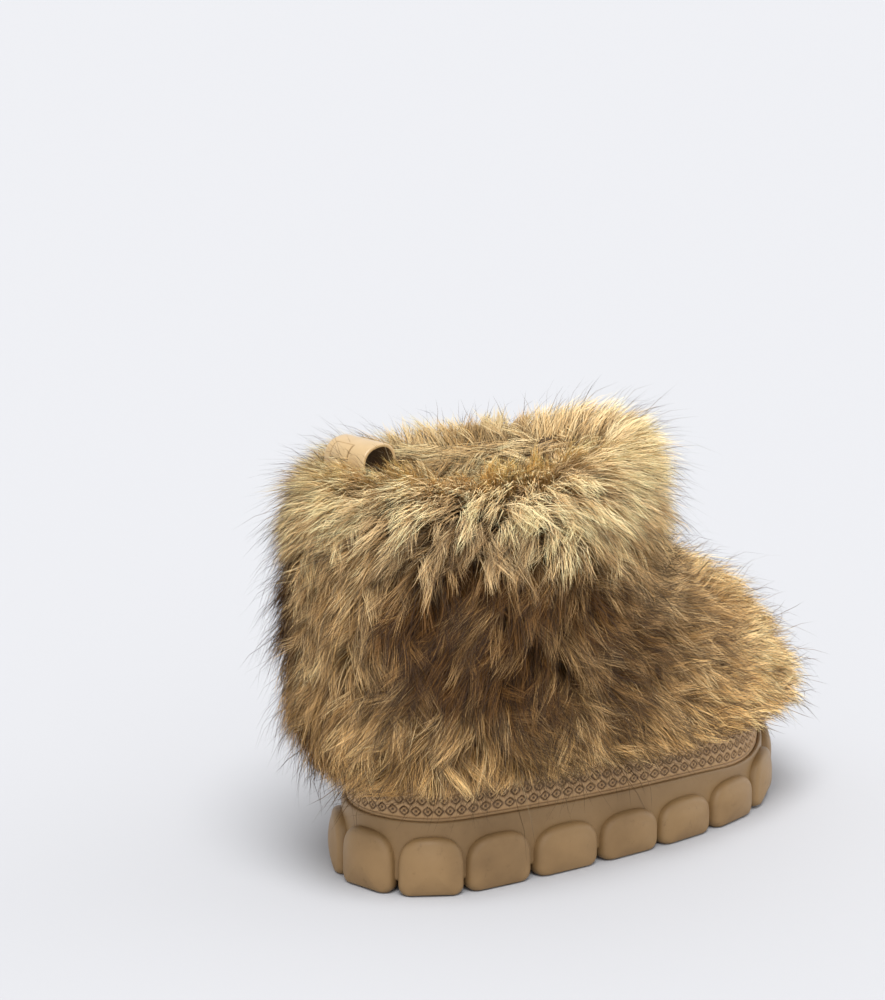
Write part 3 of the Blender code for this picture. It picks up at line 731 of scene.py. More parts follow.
# the upper's skin as a (levels, count, 3) grid: plan between the sole's outline and an ellipse
def skinGrid(levels, count, drawnIn=0.0):
    table = skinTable(levels)[:, :, None]
    backX, backZ, frontX, frontZ, outer, inner, rounding = (table[:, k] for k in range(7))
    outline = inset(0.0, count)
    turn = np.arange(count) / count * tau
    ahead = (1 - np.cos(turn)) / 2
    across = outline[:, 1]
    side = np.where(across < 0, across / -across.min(), across / across.max())
    side = side * (1 - rounding) - np.sin(turn) * rounding
    x = backX + drawnIn + (frontX - backX - 2 * drawnIn) * ahead
    y = np.where(side < 0, side * (outer - drawnIn), side * (inner - drawnIn))
    outerSag, innerSag = fur["collarSag"]
    nearTop = smoothStep(np.asarray(levels)[:, None], topLevel - 2, topLevel)
    sag = np.where(np.sin(turn) > 0, outerSag, innerSag) * nearTop
    z = backZ + (frontZ - backZ) * ahead + toeLift(x) * (1 - rounding) - sag * np.abs(np.sin(turn))
    return np.stack([x, y, z], -1)


# unit normals of a grid closed along its columns: cross product of the two central differences
def gridNormals(grid):
    along = np.roll(grid, -1, 1) - np.roll(grid, 1, 1)
    normal = np.cross(np.gradient(grid, axis=0), along)
    normal /= np.linalg.norm(normal, axis=2)[..., None] + 1e-9
    return normal


# the fur's section from inside the collar over its crest to the hem: level, share of the pile, crest, hem
def furProfile(rows):
    share = np.linspace(0.0, 1.0, rows)
    level = topLevel - (topLevel - fur["hemLevel"]) * share
    out = 0.80 + 0.20 * np.sin(math.pi * np.minimum(share * 2.2, 0.5)) - 0.06 * share**2
    crest = 0.8 * (1 - smoothStep(share, 0.0, 0.22))
    hem = smoothStep(share, 0.6, 1.0)
    inside = np.array([  # level, share of the pile, crest, hem
        (6.9, -0.12, 0.0, 0.0), (7.35, -0.12, 0.0, 0.0), (7.75, -0.11, 0.1, 0.0), (8.0, -0.08, 0.35, 0.0),
        (8.0, 0.02, 0.62, 0.0), (8.0, 0.18, 0.85, 0.0), (8.0, 0.36, 0.98, 0.0), (8.0, 0.56, 0.97, 0.0),
    ])
    return np.vstack([inside, np.column_stack([level, out, crest, hem])])


# the fur's mass at a share of its depth: skin + normal x pile x out x depth, with crest and hem
def furMass(depth, count, rows=44):
    profile = furProfile(rows)
    fine = np.linspace(0, topLevel, 161)
    skin = skinGrid(fine, count)
    normal = gridNormals(skin)
    if np.sum((skin - skin.mean((0, 1))) * normal) < 0:
        normal = -normal
    place = profile[:, 0] / topLevel * 160
    low = np.clip(np.floor(place).astype(int), 0, 159)
    share = (place - low)[:, None, None]
    skin = skin[low] * (1 - share) + skin[low + 1] * share
    normal = normal[low] * (1 - share) + normal[low + 1] * share
    turn = np.arange(count) / count * tau
    ahead = (1 - np.cos(turn)) / 2
    table = skinTable(profile[:, 0])
    pile = table[:, 7:8] + (table[:, 8:9] - table[:, 7:8]) * ahead
    out = profile[:, 1:2]
    out = np.where(out > 0, out * depth, out)
    lumps = 1 + 0.035 * (np.sin(5 * turn + 2.1 * profile[:, :1]) + np.sin(11 * turn - 3.7 * profile[:, :1]))
    mass = skin + normal * (pile * out * lumps)[..., None]
    drop = fur["hemDrop"][0] + (fur["hemDrop"][1] - fur["hemDrop"][0]) * ahead
    mass[..., 2] += profile[:, 2:3] * fur["crest"] * depth - profile[:, 3:4] * drop * (0.4 + 0.6 * depth)
    return mass


# the backing is dark brown undercoat and also painted shade for the deep pile seen between the locks
def backingMaterial():
    material, tree, shader = newMaterial("fur backing", fur["backingPale"], 0.95)
    shader.inputs["Specular IOR Level"].default_value = 0.1
    noise = noiseOf(tree, 160.0, 5.0, 0.7)
    mottle(tree, shader, noise, [(0.3, fur["backingDark"]), (0.7, fur["backingPale"])])
    roughen(tree, shader, noise, 0.9, 0.003)
    return material


# short curled pile: one fine noise for its tone and its bumps
def fleeceMaterial(name, pale, dark):
    material, tree, shader = newMaterial(name, pale, 0.95)
    shader.inputs["Specular IOR Level"].default_value = 0.1
    shader.inputs["Sheen Weight"].default_value = 0.25
    curl = noiseOf(tree, 420.0, 6.0, 0.75)
    mottle(tree, shader, curl, [(0.32, dark), (0.66, pale)])
    roughen(tree, shader, curl, 1.0, 0.0025)
    return material


# one closed body: the lined wall from the seat up to the collar, over its lip and down under the fur,
# and back inside the shell to the seat
def makeBacking():
    count = fur["columns"]
    wall = shellOut + bootSizes["shellWall"] + bootSizes["gap"]

    def over(drawnIn, height):
        loop = inset(drawnIn, count)
        return np.column_stack([loop, height(loop[:, 0])])

    def seat(x):
        return bootSizes["cupFloor"] + bootSizes["gap"] + toeLift(x)

    lining = skinGrid(np.linspace(0.9, 6.8, 34), count, bootSizes["upperWall"])
    mass = furMass(fur["underShare"], count)
    face = shellOut + bootSizes["shellLean"]
    under = [
        over(face - 6.0, lambda x: shellTop(x) - fur["hemTuck"]),
        over(face - 2.0, lambda x: shellTop(x) - 1.0),
        over(face - 1.0, lambda x: shellTop(x) + 0.8),
        over(wall + bootSizes["shellLean"] - 0.1, lambda x: shellTop(x) + 0.8),
        over(wall + 0.5, lambda x: sideTop(x) + 12.0),
        over(wall, sideTop),
        over(wall, seat),
    ]
    grid = np.concatenate([over(wall + bootSizes["upperWall"], seat)[None], lining, mass, np.array(under)])
    points = grid.reshape(-1, 3)
    quads = outward(points, ringFaces(len(grid), count, closeRows=True))
    row = np.repeat(np.arange(len(grid)), count)
    inside = (row < 1 + len(lining) + 3) | (row >= 1 + len(lining) + len(mass) + 1)
    fleece = fleeceMaterial("fleece lining", fur["liningPale"], fur["liningDark"])
    piece = makeObject("fur_backing", placed(points), quads, [backingMaterial(), fleece], inside.astype(int))
    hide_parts("upper")
    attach(piece, "root")


makeBacking()
print("fur backing and lining are built")


# hair

hair = {
    "length": 21.5,
    "lift": 13.5,
    "width": 0.31,
    "clumpRadius": 2.6,
    "longShare": 0.40,        # of the hairs, with three segments; the rest have two
    "guardShare": 0.15,       # of the hairs, long, thin and dark, fewer where the fur is golden
    "guardLength": 1.36,
    "guardLift": 1.35,
    "guardWidth": 0.62,
    "tuftSpacing": 13.0,
    "tuftTurn": 0.52,         # how far a tuft turns sideways, and each of its locks beyond that
    "lockTurn": 0.30,
    "lockCurl": 6.5,
    "wander": 0.6,            # slow turning of the lean, over about so many mm
    "wanderSize": 15.0,
    "crestUp": 1.25,          # how upright the hairs stand on the collar's crest
    "crestUpInner": 0.5,
    "crestDense": 1.5,
    "partingX": 76.0,         # hairs behind it lean to the heel, hairs ahead of it to the toe
    "partingWide": 52.0,
    "droop": 3.0,
    "frizz": 0.7,
    "sunk": 1.5,              # how far the roots start under the backing
    "hemHeel": 57.0,
    "hemToe": 52.0,
    "hemUneven": 2.6,
    "hemGuard": 8.5,
    "roomBeyond": 9.0,        # how far past the part's box, on top of 3 percent of its side
    "root": (0.052, 0.023, 0.007),
    "brown": (0.240, 0.110, 0.031),
    "golden": (0.920, 0.550, 0.202),
    "pale": (1.000, 0.790, 0.460),
    "tip": (0.040, 0.029, 0.025),
    "crown": (14.0, 146.0, 66.0, 40.0, 0.84),     # dark places: x, z, half widths, strength
    "waist": (94.0, 116.0, 70.0, 40.0, 0.46),
    "byLock": 0.17,           # how much a lock's own tone changes its gold
    # painted shade on the collar's inner side: how much its hairs are darkened
    "farCrestShade": 0.35,         # how much darker the collar's inner side is
    "collarRows": 15.0,       # where the fur is cut into pieces: rows, and x in mm
    "toeFrom": 185.0,
    "heelTo": 35.0,
}


evenSteps = (0.7548776662466927, 0.5698402909980532)      # 1/g and 1/g^2, with g^3 = g + 1


# evenly scattered places on a grid: an additive sequence in two numbers, warped by the cells' areas
def spreadPlaces(count, weights):
    index = np.arange(count)
    downward = (0.5 + index * evenSteps[0]) % 1.0
    around = (0.5 + index * evenSteps[1]) % 1.0
    byRow = np.concatenate([[0.0], np.cumsum(weights.sum(1))])
    rowPlace = downward * byRow[-1]
    row = np.clip(np.searchsorted(byRow, rowPlace, side="right") - 1, 0, len(weights) - 1)
    inRow = (rowPlace - byRow[row]) / (byRow[row + 1] - byRow[row])
    byColumn = np.concatenate([np.zeros((len(weights), 1)), np.cumsum(weights, 1)], 1)
    target = around * byColumn[row, -1]
    column = np.clip((byColumn[row] <= target[:, None]).sum(1) - 1, 0, weights.shape[1] - 1)
    inColumn = (target - byColumn[row, column]) / weights[row, column]
    return row, inRow, column, inColumn


# a grid read between its points, weighing the four corners of the cell
def gridAt(grid, row, inRow, column, inColumn):
    after = (column + 1) % grid.shape[1]
    r, c = inRow[:, None], inColumn[:, None]
    return ((grid[row, column] * (1 - c) + grid[row, after] * c) * (1 - r)
            + (grid[row + 1, column] * (1 - c) + grid[row + 1, after] * c) * r)


def unit(v):
    return v / (np.linalg.norm(v, axis=-1, keepdims=True) + 1e-12)


# slow wandering between -1 and 1: three sines at slanted directions
def waves(points, scale, phase):
    slants = ((1.0, 0.6, 0.3), (-0.5, 1.0, 0.8), (0.4, -0.7, 1.1))
    p = points / scale
    first, second, third = (np.sin(p @ np.array(slants[k]) + (1.0, 2.1, 3.7)[k] * phase) for k in range(3))
    return (first + second + third) / 3


# where each lock starts on the backing, its normal, which way it leans and how its tuft lifts it
def clumpField(rng):
    under = furMass(fur["underShare"], fur["columns"])
    side = np.linalg.norm(np.roll(under, -1, 1) - under, axis=2)
    down = np.linalg.norm(np.diff(under, axis=0), axis=2)
    weights = side[:-1] * down
    weights[3:13] *= hair["crestDense"]
    place = spreadPlaces(fur["clumps"], weights)
    start = gridAt(under, *place)
    normal = gridNormals(under)
    if np.sum((under[10:] - under[10:].mean((0, 1))) * normal[10:]) < 0:
        normal = -normal
    rowPlace = place[0] + place[1]
    inner = smoothStep(start[:, 1], 0, 45)
    onCrest = smoothStep(rowPlace, 2.5, 4.5) * (1 - smoothStep(rowPlace, 9.0, 16.0))
    up = hair["crestUp"] + (hair["crestUpInner"] - hair["crestUp"]) * inner
    upward = np.array([0.0, 0.0, 1.0]) * (onCrest * up)[:, None]
    normal = unit(unit(gridAt(normal, *place)) + upward)
    fall = unit(gridAt(np.gradient(under, axis=0), *place))
    crest = 1 - smoothStep(rowPlace, 8.0, 22.0)             # 1 at the collar's crest, 0 down the shaft
    inside = 1 - smoothStep(rowPlace, 2.5, 5.5)
    # lean: down along the fur, to the heel at the heel and to the toe ahead of the crown
    ahead = (start[:, 0] - hair["partingX"]) / hair["partingWide"]
    ahead = np.clip(ahead, -1.3, 1.8) * (1 - 0.75 * smoothStep(start[:, 0], 215, 268))
    toward = np.array([1.0, 0.0, 0.0]) * ahead[:, None]
    lean = fall * (1.0 - 1.6 * inside)[:, None] + toward * (0.95 - 0.2 * crest - 0.6 * inside)[:, None]
    lean -= np.array([0.9, 0.0, 0.0]) * inside[:, None]
    lean += np.array([0.0, 0.0, 1.0]) * (crest * 0.28 * smoothStep(start[:, 0], 110, 165))[:, None]
    sideways = unit(np.cross(normal, fall))
    # tufts: each lock takes the turn and the lift of its nearest tuft
    tuftCount = int(weights.sum() / hair["tuftSpacing"] ** 2)
    tuft = gridAt(under, *spreadPlaces(tuftCount, weights))
    nearest = np.argmin(np.sum((start[:, None] - tuft[None]) ** 2, axis=2), axis=1)
    tuftTurn, tuftLift = rng.normal(0, hair["tuftTurn"], tuftCount), rng.normal(0, 1.0, tuftCount)
    turned = hair["wander"] * waves(start, hair["wanderSize"], 1.0) + tuftTurn[nearest]
    turned += hair["lockTurn"] * rng.normal(size=len(start))
    lean += sideways * (turned * (1 - 0.45 * onCrest))[:, None]
    lean -= normal * np.sum(lean * normal, axis=1, keepdims=True) * 0.9
    return {
        "start": start, "normal": normal, "lean": unit(lean), "tuftLift": tuftLift[nearest],
        "crest": crest, "onCrest": onCrest, "inner": inner, "inside": inside, "rowPlace": rowPlace,
    }


# shortens hairs that fall past the hem or leave the room round the part: root + (line - root) x share
def trimHair(lines, rng, guard):
    root, tip = lines[:, 0], lines[:, -1]
    hem = hair["hemHeel"] + (hair["hemToe"] - hair["hemHeel"]) * smoothStep(root[:, 0], 120, 290)
    hem = hem + rng.normal(0, hair["hemUneven"], len(root))
    hem = hem - np.where(guard, rng.exponential(hair["hemGuard"], len(root)), 0.0)
    fall = root[:, 2] - tip[:, 2]
    share = np.where(tip[:, 2] < hem, (root[:, 2] - hem) / np.maximum(fall, 1e-3), 1.0)
    low, high = (np.array(corner) * 1000 + (bootSizes["length"] / 2, 0, 0) for corner in cadBox)
    spare = (high - low) * 0.03 + hair["roomBeyond"]
    reach = tip - root
    room = np.where(reach > 0, high + spare - root, root - (low - spare))
    share = np.minimum(share, (room / np.maximum(np.abs(reach), 1e-3)).min(1))
    share = np.clip(share, 0.25, 1.0)
    return root[:, None] + (lines - root[:, None]) * share[:, None, None]


# each hair is a ribbon: root + normal x lift x (1 - (1-t)^2) + lean x length x t^1.3, drawn towards its
# lock's own line as t grows; long hairs are read at four places along it, short ones at three
def makeHair():
    rng = np.random.default_rng(fur["seed"])
    clump = clumpField(rng)
    clumps, strands = fur["clumps"], fur["strands"]
    upright = clump["onCrest"]
    lockLength = hair["length"] * rng.uniform(0.7, 1.25, clumps) * (1 + 0.05 * upright)
    lockLift = hair["lift"] * rng.uniform(0.75, 1.25, clumps) * (1 + 0.12 * clump["tuftLift"])
    taller = 0.28 - 0.26 * smoothStep(clump["start"][:, 0], 55, 130) - 0.50 * clump["inner"]
    lockLift = np.clip(lockLift, 5, 20) * (1 + taller * upright) * (1 - 0.35 * clump["inside"])
    atToe = smoothStep(clump["start"][:, 0], 165, 235)
    foremost = smoothStep(clump["start"][:, 0], 245, 300)
    lockLength *= (1 - 0.20 * atToe) * (1 - 0.35 * foremost)
    lockLift *= (1 + atToe * (0.95 * clump["normal"][:, 2] - 0.45)) * (1 - 0.25 * foremost)
    lockCurl = rng.normal(0, hair["lockCurl"], clumps) * (1 - 0.5 * upright)
    lockTone = np.clip(0.75 * rng.normal(0, 1.0, clumps) + 0.65 * clump["tuftLift"], -1.7, 1.4)
    of = np.sort(rng.integers(0, clumps, strands))
    normal, lean = clump["normal"][of], clump["lean"][of]
    sideways = unit(np.cross(normal, lean))
    long = rng.random(strands) < hair["longShare"]
    guardShare = hair["guardShare"] * (1.3 - 0.75 * np.clip(goldAt(clump["start"]), 0, 1))[of]
    guard = long & (rng.random(strands) < guardShare / hair["longShare"])
    offset = rng.normal(0, hair["clumpRadius"], (strands, 2))
    length = lockLength[of] * rng.uniform(0.62, 1.12, strands) * np.where(guard, hair["guardLength"], 1.0)
    lift = lockLift[of] * rng.uniform(0.7, 1.15, strands) * np.where(guard, hair["guardLift"], 1.0)
    drawLong, drawShort = rng.uniform(0.74, 1.0, strands), rng.uniform(0.40, 0.90, strands)
    draw = np.where(guard, 0.25, np.where(long, drawLong, drawShort))
    wild = rng.normal(0, 1.0, (strands, 3)) * np.where(guard, 3.8, 1.3)[:, None]
    frizz = rng.normal(0, hair["frizz"], (strands, 4, 3))
    places = np.where(long[:, None], [0.0, 0.36, 0.70, 1.0], [0.0, 0.52, 1.0, 1.0])
    t = places[:, :, None]
    toLock = offset[:, None] * (1 - draw[:, None, None] * t**0.8)
    lines = ((clump["start"][of] - normal * hair["sunk"])[:, None]
             + sideways[:, None] * toLock[..., :1] + lean[:, None] * toLock[..., 1:]
             + normal[:, None] * (lift[:, None, None] * (1 - (1 - t) ** 2))
             + lean[:, None] * (length[:, None, None] * t**1.3)
             + sideways[:, None] * (lockCurl[of][:, None, None] * t**2)
             + wild[:, None] * t**1.5 + frizz * np.minimum(t * 2, 1))
    lines[..., 2] -= hair["droop"] * places**2.5 * ((1 - clump["crest"]) * (1 - atToe))[of][:, None]
    lines[~long, 3] = lines[~long, 2]
    lines = trimHair(lines, rng, guard)
    along = np.diff(lines, axis=1)
    along[~long, 2] = along[~long, 1]
    flat = unit(np.cross(along, normal[:, None] + 0.5 * rng.normal(size=(strands, 1, 3))))
    atHem = 1 - smoothStep(clump["start"][of][:, 2], 62, 88)
    width = hair["width"] * rng.uniform(0.75, 1.25, strands)
    width *= np.where(guard, hair["guardWidth"] + 0.45 * atHem, 1.0)
    half = width[:, None] * np.array([0.95, 1.0, 0.75]) / 2
    left = lines[:, :3] - flat * half[..., None]
    right = lines[:, :3] + flat * half[..., None]
    points = np.empty((strands, 7, 3))
    points[:, 0:6:2] = left
    points[:, 1:6:2] = right
    points[:, 6] = lines[:, 3]
    darkShare = 0.08 + 0.30 * (1 - np.clip(goldAt(clump["start"]), 0, 1)) + 0.10 * atToe
    darkLock = rng.random(clumps) < darkShare
    darkTip = guard | (darkLock[of] & (rng.random(strands) < 0.7))
    tones = hairTones(rng, lines[:, 1], lockTone[of], guard, darkTip)
    shadeNormal = unit(normal * 0.9 + (0.0, 0.0, 0.25) + 0.24 * rng.normal(size=(strands, 3)))
    return points, tones, shadeNormal, clump["start"][of], clump["rowPlace"][of], long


# how golden the fur is at a place, about 0 to 1: golden at the collar, the heel's middle, the toe and the
# hem, dark brown round the crown on each side of the heel, brown at the waist ahead of it
def goldAt(place):
    x, y, z = place.T
    side = smoothStep(np.abs(y), 12, 48)
    gold = 0.66 + 0.34 * np.maximum(smoothStep(z, 150, 195), smoothStep(x, 165, 235))
    for middleX, middleZ, wide, high, strength in (hair["crown"], hair["waist"]):
        gold -= strength * side * np.exp(-((x - middleX) / wide) ** 2 - ((z - middleZ) / high) ** 2)
    gold = np.maximum(gold, smoothStep(z, 172, 208))
    return gold + 0.08 * (1 - smoothStep(z, 62, 84))


# tone along a hair: brown at the root, then the body's colour, with a dark tip on some; body is a mix of
# brown, golden and pale, more golden in the dark places' light locks and darker in their dark ones
def hairTones(rng, place, lockTone, guard, darkTip):
    strands = len(place)
    gold = np.clip(goldAt(place) + hair["byLock"] * lockTone + 0.15 * waves(place, 12.0, 2.3), 0.03, 1.0)
    # painted light: hairs are paler towards the top of the collar and less so on its inner side; the random
    # part is each hair's and lock's own tone, and hairs low down away from the toe are less pale
    light = 0.40 + 0.45 * smoothStep(place[:, 2], 160, 205) * (1 - 0.7 * smoothStep(place[:, 1], 10, 50))
    light += 0.20 * rng.normal(size=strands) + 0.14 * lockTone
    light -= 0.30 * (1 - smoothStep(place[:, 2], 66, 130)) * (1 - smoothStep(place[:, 0], 180, 240))
    light = np.clip(light, 0, 1)
    brown, golden, pale, root = (np.array(hair[name]) for name in ("brown", "golden", "pale", "root"))
    bright = golden * (1 - light)[:, None] + pale * light[:, None]
    body = brown * (1 - gold)[:, None] + bright * gold[:, None]
    lit = 0.24 * (1 - gold) * smoothStep(lockTone, 0.0, 1.2)
    dim = 0.28 * (1 - gold) * smoothStep(-lockTone, 0.0, 1.2)
    body = body * (1 - dim)[:, None] + golden * lit[:, None]
    darkTip = darkTip[:, None]
    tip = np.where(darkTip, np.array(hair["tip"]), np.minimum(body * 1.2 + 0.02, 1.0))
    deep = root * (1 - 0.5 * gold)[:, None] + body**1.25 * (0.09 + 0.52 * gold**3)[:, None]
    # painted shade: hairs on the collar's inner side, near its top, are made darker
    farCrestShade = smoothStep(place[:, 1], 5, 40) * smoothStep(place[:, 2], 165, 200)
    deep, body, tip = (part * (1 - hair["farCrestShade"] * farCrestShade)[:, None] for part in (deep, body, tip))
    tones = np.ones((strands, 7, 4))
    tones[:, 0:2, :3] = deep[:, None]
    share = (0.28 + 0.40 * gold)[:, None]
    early = deep * (1 - share) + body * share
    tones[:, 2:4, :3] = np.where(guard[:, None], early * 0.35 + tip * 0.5, early)[:, None]
    late = np.where(guard[:, None], body * 0.12 + tip * 0.8, body * 0.5 + tip * 0.4)
    tones[:, 4:6, :3] = np.where(darkTip, late, body)[:, None]
    tones[:, 6, :3] = tip
    return tones


def hairMaterial():
    material, tree, shader = newMaterial("fur hair", hair["golden"], 0.7)
    shader.inputs["Specular IOR Level"].default_value = 0.02
    tone = addNode(tree, "ShaderNodeAttribute", attribute_name="tone")
    tree.links.new(tone.outputs["Color"], shader.inputs["Base Color"])
    return material


# a long hair is two quads and a triangle over its points 0 to 6; a short one a quad and a triangle over
# its points 0 to 3 and its tip
def hairPieces():
    points, tones, shadeNormal, start, rowPlace, long = makeHair()
    material = hairMaterial()
    collar = rowPlace < hair["collarRows"]
    toe = ~collar & (start[:, 0] > hair["toeFrom"])
    heel = ~collar & (start[:, 0] < hair["heelTo"])
    rest = ~collar & ~toe & ~heel
    onOuter = start[:, 1] < 0
    regions = {
        "fur_collar_outer": collar & onOuter, "fur_collar_inner": collar & ~onOuter,
        "fur_toe": toe, "fur_heel": heel, "fur_outer": rest & onOuter, "fur_inner": rest & ~onOuter,
    }
    shortPoints = [0, 1, 2, 3, 6]
    for name, chosen in regions.items():
        longHere, shortHere = chosen & long, chosen & ~long
        longCount, shortCount = int(longHere.sum()), int(shortHere.sum())
        here = np.vstack([points[longHere].reshape(-1, 3), points[shortHere][:, shortPoints].reshape(-1, 3)])
        tone = np.vstack([tones[longHere].reshape(-1, 4), tones[shortHere][:, shortPoints].reshape(-1, 4)])
        longBase = np.arange(longCount)[:, None] * 7
        shortBase = longCount * 7 + np.arange(shortCount)[:, None] * 5
        quads = np.concatenate([longBase + (0, 1, 3, 2), longBase + (2, 3, 5, 4), shortBase + (0, 1, 3, 2)])
        tris = np.concatenate([longBase + (4, 5, 6), shortBase + (2, 3, 4)])
        piece = makeObject(name, placed(here), [quads, tris], [material])
        layer = piece.data.color_attributes.new("tone", "FLOAT_COLOR", "POINT")
        layer.data.foreach_set("color", tone.astype(np.float32).ravel())
        addHairMap(piece, longCount, shortCount)
        normals = np.vstack([np.repeat(shadeNormal[longHere], 7, 0), np.repeat(shadeNormal[shortHere], 5, 0)])
        piece.data.normals_split_custom_set_from_vertices(normals)
        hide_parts("upper")
        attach(piece, "root")
        print(name, "has", longCount + shortCount, "hairs,", longCount * 5 + shortCount * 3, "triangles")


# the piece's own map: one cell of a square grid for each hair, with the hair upright in it
def addHairMap(piece, longCount, shortCount):
    count = longCount + shortCount
    across = int(math.ceil(math.sqrt(count)))
    cell = 1.0 / across
    corner = np.stack([np.arange(count) % across, np.arange(count) // across], -1) * cell
    spots = np.array([
        (0.1, 0.05), (0.9, 0.05), (0.1, 0.36), (0.9, 0.36), (0.1, 0.68), (0.9, 0.68), (0.5, 0.95),
    ])
    places = corner[:, None] + spots * cell
    isLong, isShort = places[:longCount], places[longCount:]
    corners = np.concatenate([
        isLong[:, [0, 1, 3, 2]].reshape(-1, 2), isLong[:, [2, 3, 5, 4]].reshape(-1, 2),
        isShort[:, [0, 1, 3, 2]].reshape(-1, 2),
        isLong[:, [4, 5, 6]].reshape(-1, 2), isShort[:, [2, 3, 6]].reshape(-1, 2),
    ])
    layer = piece.data.uv_layers.new(name="OFBake")
    layer.data.foreach_set("uv", corners.astype(np.float32).ravel())


hairPieces()
print("hair is built")


# pull loop

loop = {
    "width": 28.0,
    "strap": 1.9,             # its thickness
    "edge": 0.7,              # the radius of the strap's edges
    "long": 22.0,
    "high": 21.0,
    "power": 2.4,
    "turns": 240,
    "seatX": 4.0,
    "seatZ": 208.5,
    "lean": -8.0,
    "plateMiddle": 3.5,       # a blank plate with a groove round it
    "plateIn": 2.6,
    "plateTurn": 138.0,
    "groove": 0.42,
    "dark": (0.43, 0.295, 0.145),
    "pale": (0.53, 0.375, 0.200),
    "insideDark": (0.07, 0.042, 0.022),
    "insidePale": (0.15, 0.095, 0.052),
}


# the strap's dark matte lining, also used as painted shade at the bottom of the groove round the plate
def loopLiningAndGrooveShade():
    material, tree, shader = newMaterial("loop lining and groove shade", loop["insideDark"], 0.8)
    shader.inputs["Specular IOR Level"].default_value = 0.2
    weave = noiseOf(tree, 900.0, 4.0, 0.7)
    mottle(tree, shader, weave, [(0.3, loop["insideDark"]), (0.7, loop["insidePale"])])
    roughen(tree, shader, weave, 0.5, 0.0004)
    return material


def loopPatent():
    material, tree, shader = newMaterial("loop patent", loop["pale"], 0.3)
    shader.inputs["Coat Weight"].default_value = 0.25
    shader.inputs["Coat Roughness"].default_value = 0.22
    mottle(tree, shader, noiseOf(tree, 60.0), [(0.3, loop["dark"]), (0.7, loop["pale"])])
    roughen(tree, shader, noiseOf(tree, 1400.0, 3.0, 0.6), 0.2, 0.0002)
    return material


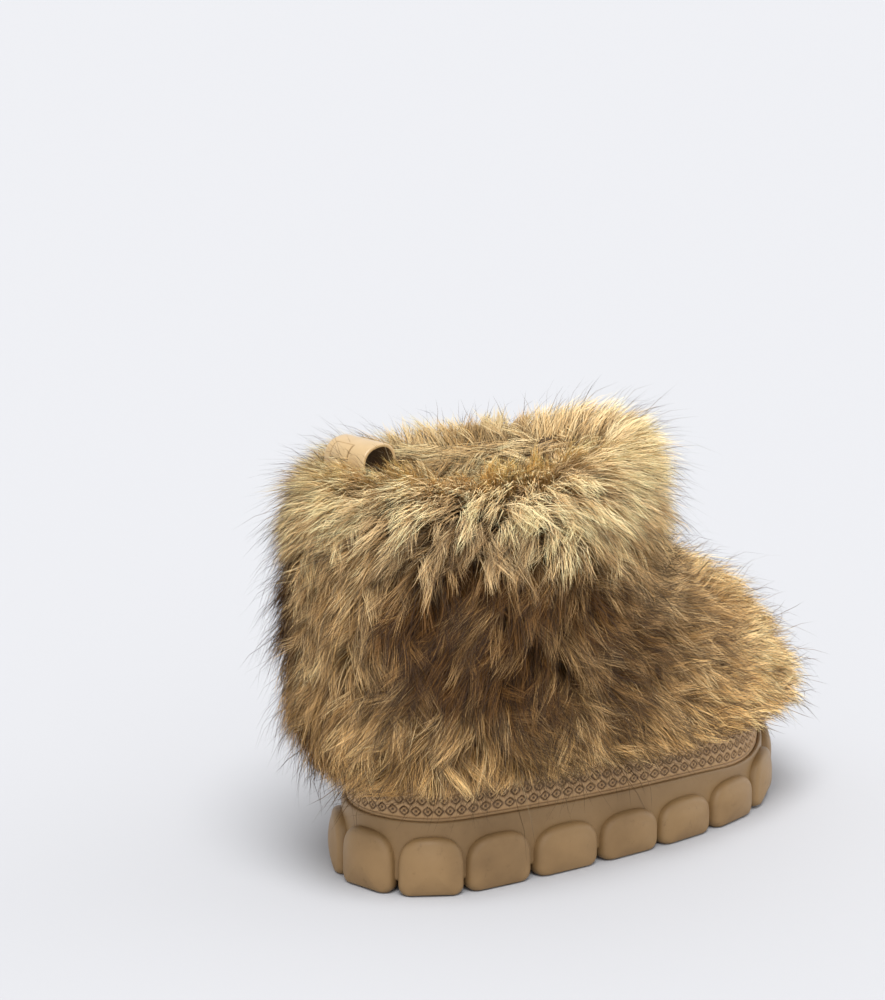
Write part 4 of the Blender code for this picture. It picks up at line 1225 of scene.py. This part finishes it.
# a strap round an oval: its section is a flat bar with round edges and a groove, carried round
# |x/a|^power + |z/b|^power = 1; away from the plate the groove is filled up
def makeLoop():
    turns = loop["turns"]
    angle = np.arange(turns) / turns * tau
    power = 2.0 / loop["power"]
    wide, thick, edge, groove = loop["width"] / 2, loop["strap"], loop["edge"], loop["groove"]
    corner = np.linspace(0, math.pi / 2, 5)
    quarter = np.stack([wide - edge + edge * np.sin(corner), edge - edge * np.cos(corner)], -1)
    side = np.array([
        (9.2, 0.0), (9.0, 0.0), (8.85, groove), (8.5, groove), (8.3, groove), (8.15, -0.28), (7.9, -0.35),
    ])
    side -= (loop["plateIn"], 0.0)
    outerSide = np.vstack([side * (-1, 1), side[::-1]]) + (loop["plateMiddle"], 0.0)
    order = np.vstack([
        (quarter * (-1, 1))[::-1], outerSide, quarter, (quarter * (1, -1) + (0, thick))[::-1],
        quarter * (-1, -1) + (0, thick),
    ])
    across, depth = order[:, 0], order[:, 1]
    along = np.abs(np.angle(np.exp(1j * (angle - math.radians(loop["plateTurn"])))))
    onPatch = 1 - smoothStep(along, 0.46, 0.50)
    fromMiddle = np.abs(across - loop["plateMiddle"]) + loop["plateIn"]
    middle = (fromMiddle < 9.3) & (depth < thick / 2)
    drawn = depth[None, :] * np.where(middle[None, :], onPatch[:, None], 1.0)
    atEnd = smoothStep(along, 0.40, 0.425) * (1 - smoothStep(along, 0.465, 0.49))
    plate = (fromMiddle < 8.9) & (depth < thick / 2)
    drawn += np.where(plate[None, :], (groove - drawn) * atEnd[:, None], 0.0)
    cosine, sine = np.cos(angle)[:, None], np.sin(angle)[:, None]
    x = (loop["long"] / 2 - drawn) * np.sign(cosine) * np.abs(cosine) ** power
    z = (loop["high"] / 2 - drawn) * np.sign(sine) * np.abs(sine) ** power
    lean = math.radians(loop["lean"])
    grid = np.stack([
        x * math.cos(lean) + z * math.sin(lean) + loop["seatX"],
        np.broadcast_to(across, x.shape),
        -x * math.sin(lean) + z * math.cos(lean),
    ], -1)
    grid[..., 2] += loop["seatZ"] - grid[..., 2].min()
    points = grid.reshape(-1, 3)
    quads = outward(points, ringFaces(turns, len(order), closeRows=True))
    lining = (depth > thick * 0.8) & (np.roll(depth, -1) > thick * 0.8)
    # painted shade: the faces at the bottom of the groove round the plate take the dark lining material
    inGroove = (drawn > 0.4) & (np.roll(drawn, -1, 1) > 0.4) & plate & np.roll(plate, -1)
    inDark = (inGroove | lining).astype(int).ravel()
    piece = makeObject("loop_strap", placed(points), quads, [loopPatent(), loopLiningAndGrooveShade()], inDark)
    piece.data.set_sharp_from_angle(angle=math.radians(32))
    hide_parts("pull_loop")
    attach(piece, "root")


makeLoop()
print("pull loop is built")


# insole

insole = {
    "thick": 6.0,
    "fromUpper": 0.7,
    "raised": 1.0,
    "pile": 0.45,
    "light": (0.50, 0.375, 0.235),
    "dark": (0.24, 0.17, 0.10),
}


# rings drawn in from the upper's wall: a side with a rolled edge, a dished top that falls to the middle,
# and a pile that stands up and down by three short waves
def makeInsole():
    count = 220
    edge = shellOut + bootSizes["shellWall"] + bootSizes["gap"] + bootSizes["upperWall"] + insole["fromUpper"]
    foot = bootSizes["cupFloor"] + bootSizes["gap"]
    thick = insole["thick"]
    profile = [(0.0, 0.0), (0.0, thick - 0.8), (0.3, thick + 0.2), (0.9, thick + 0.8)]
    across = np.linspace(1.6, 34.0, 22)
    dish = thick + insole["raised"] - 1.5 * smoothStep(across, 1.6, 14.0)
    profile += list(zip(across, dish))
    rows = []
    for index, (drawnIn, up) in enumerate(profile):
        loop = inset(edge + drawnIn, count)
        points = np.column_stack([loop, foot + up + toeLift(loop[:, 0])])
        if index > 1:
            points[:, 2] += insole["pile"] * waves(points, 1.7, 0.6)
        rows.append(points)
    points = np.vstack(rows)
    under, underEnds = stripsAcross(0, count)
    over, overEnds = stripsAcross((len(rows) - 1) * count, count)
    quads = np.vstack([ringFaces(len(rows), count), under[:, ::-1], over])
    ends = np.vstack([underEnds[:, ::-1], overEnds])
    quads, ends = outward(points, quads, ends)
    fleece = fleeceMaterial("fleece insole", insole["light"], insole["dark"])
    piece = makeObject("insole_fleece", placed(points), [quads, ends], [fleece])
    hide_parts("insole")
    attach(piece, "root")


makeInsole()
print("insole is built")
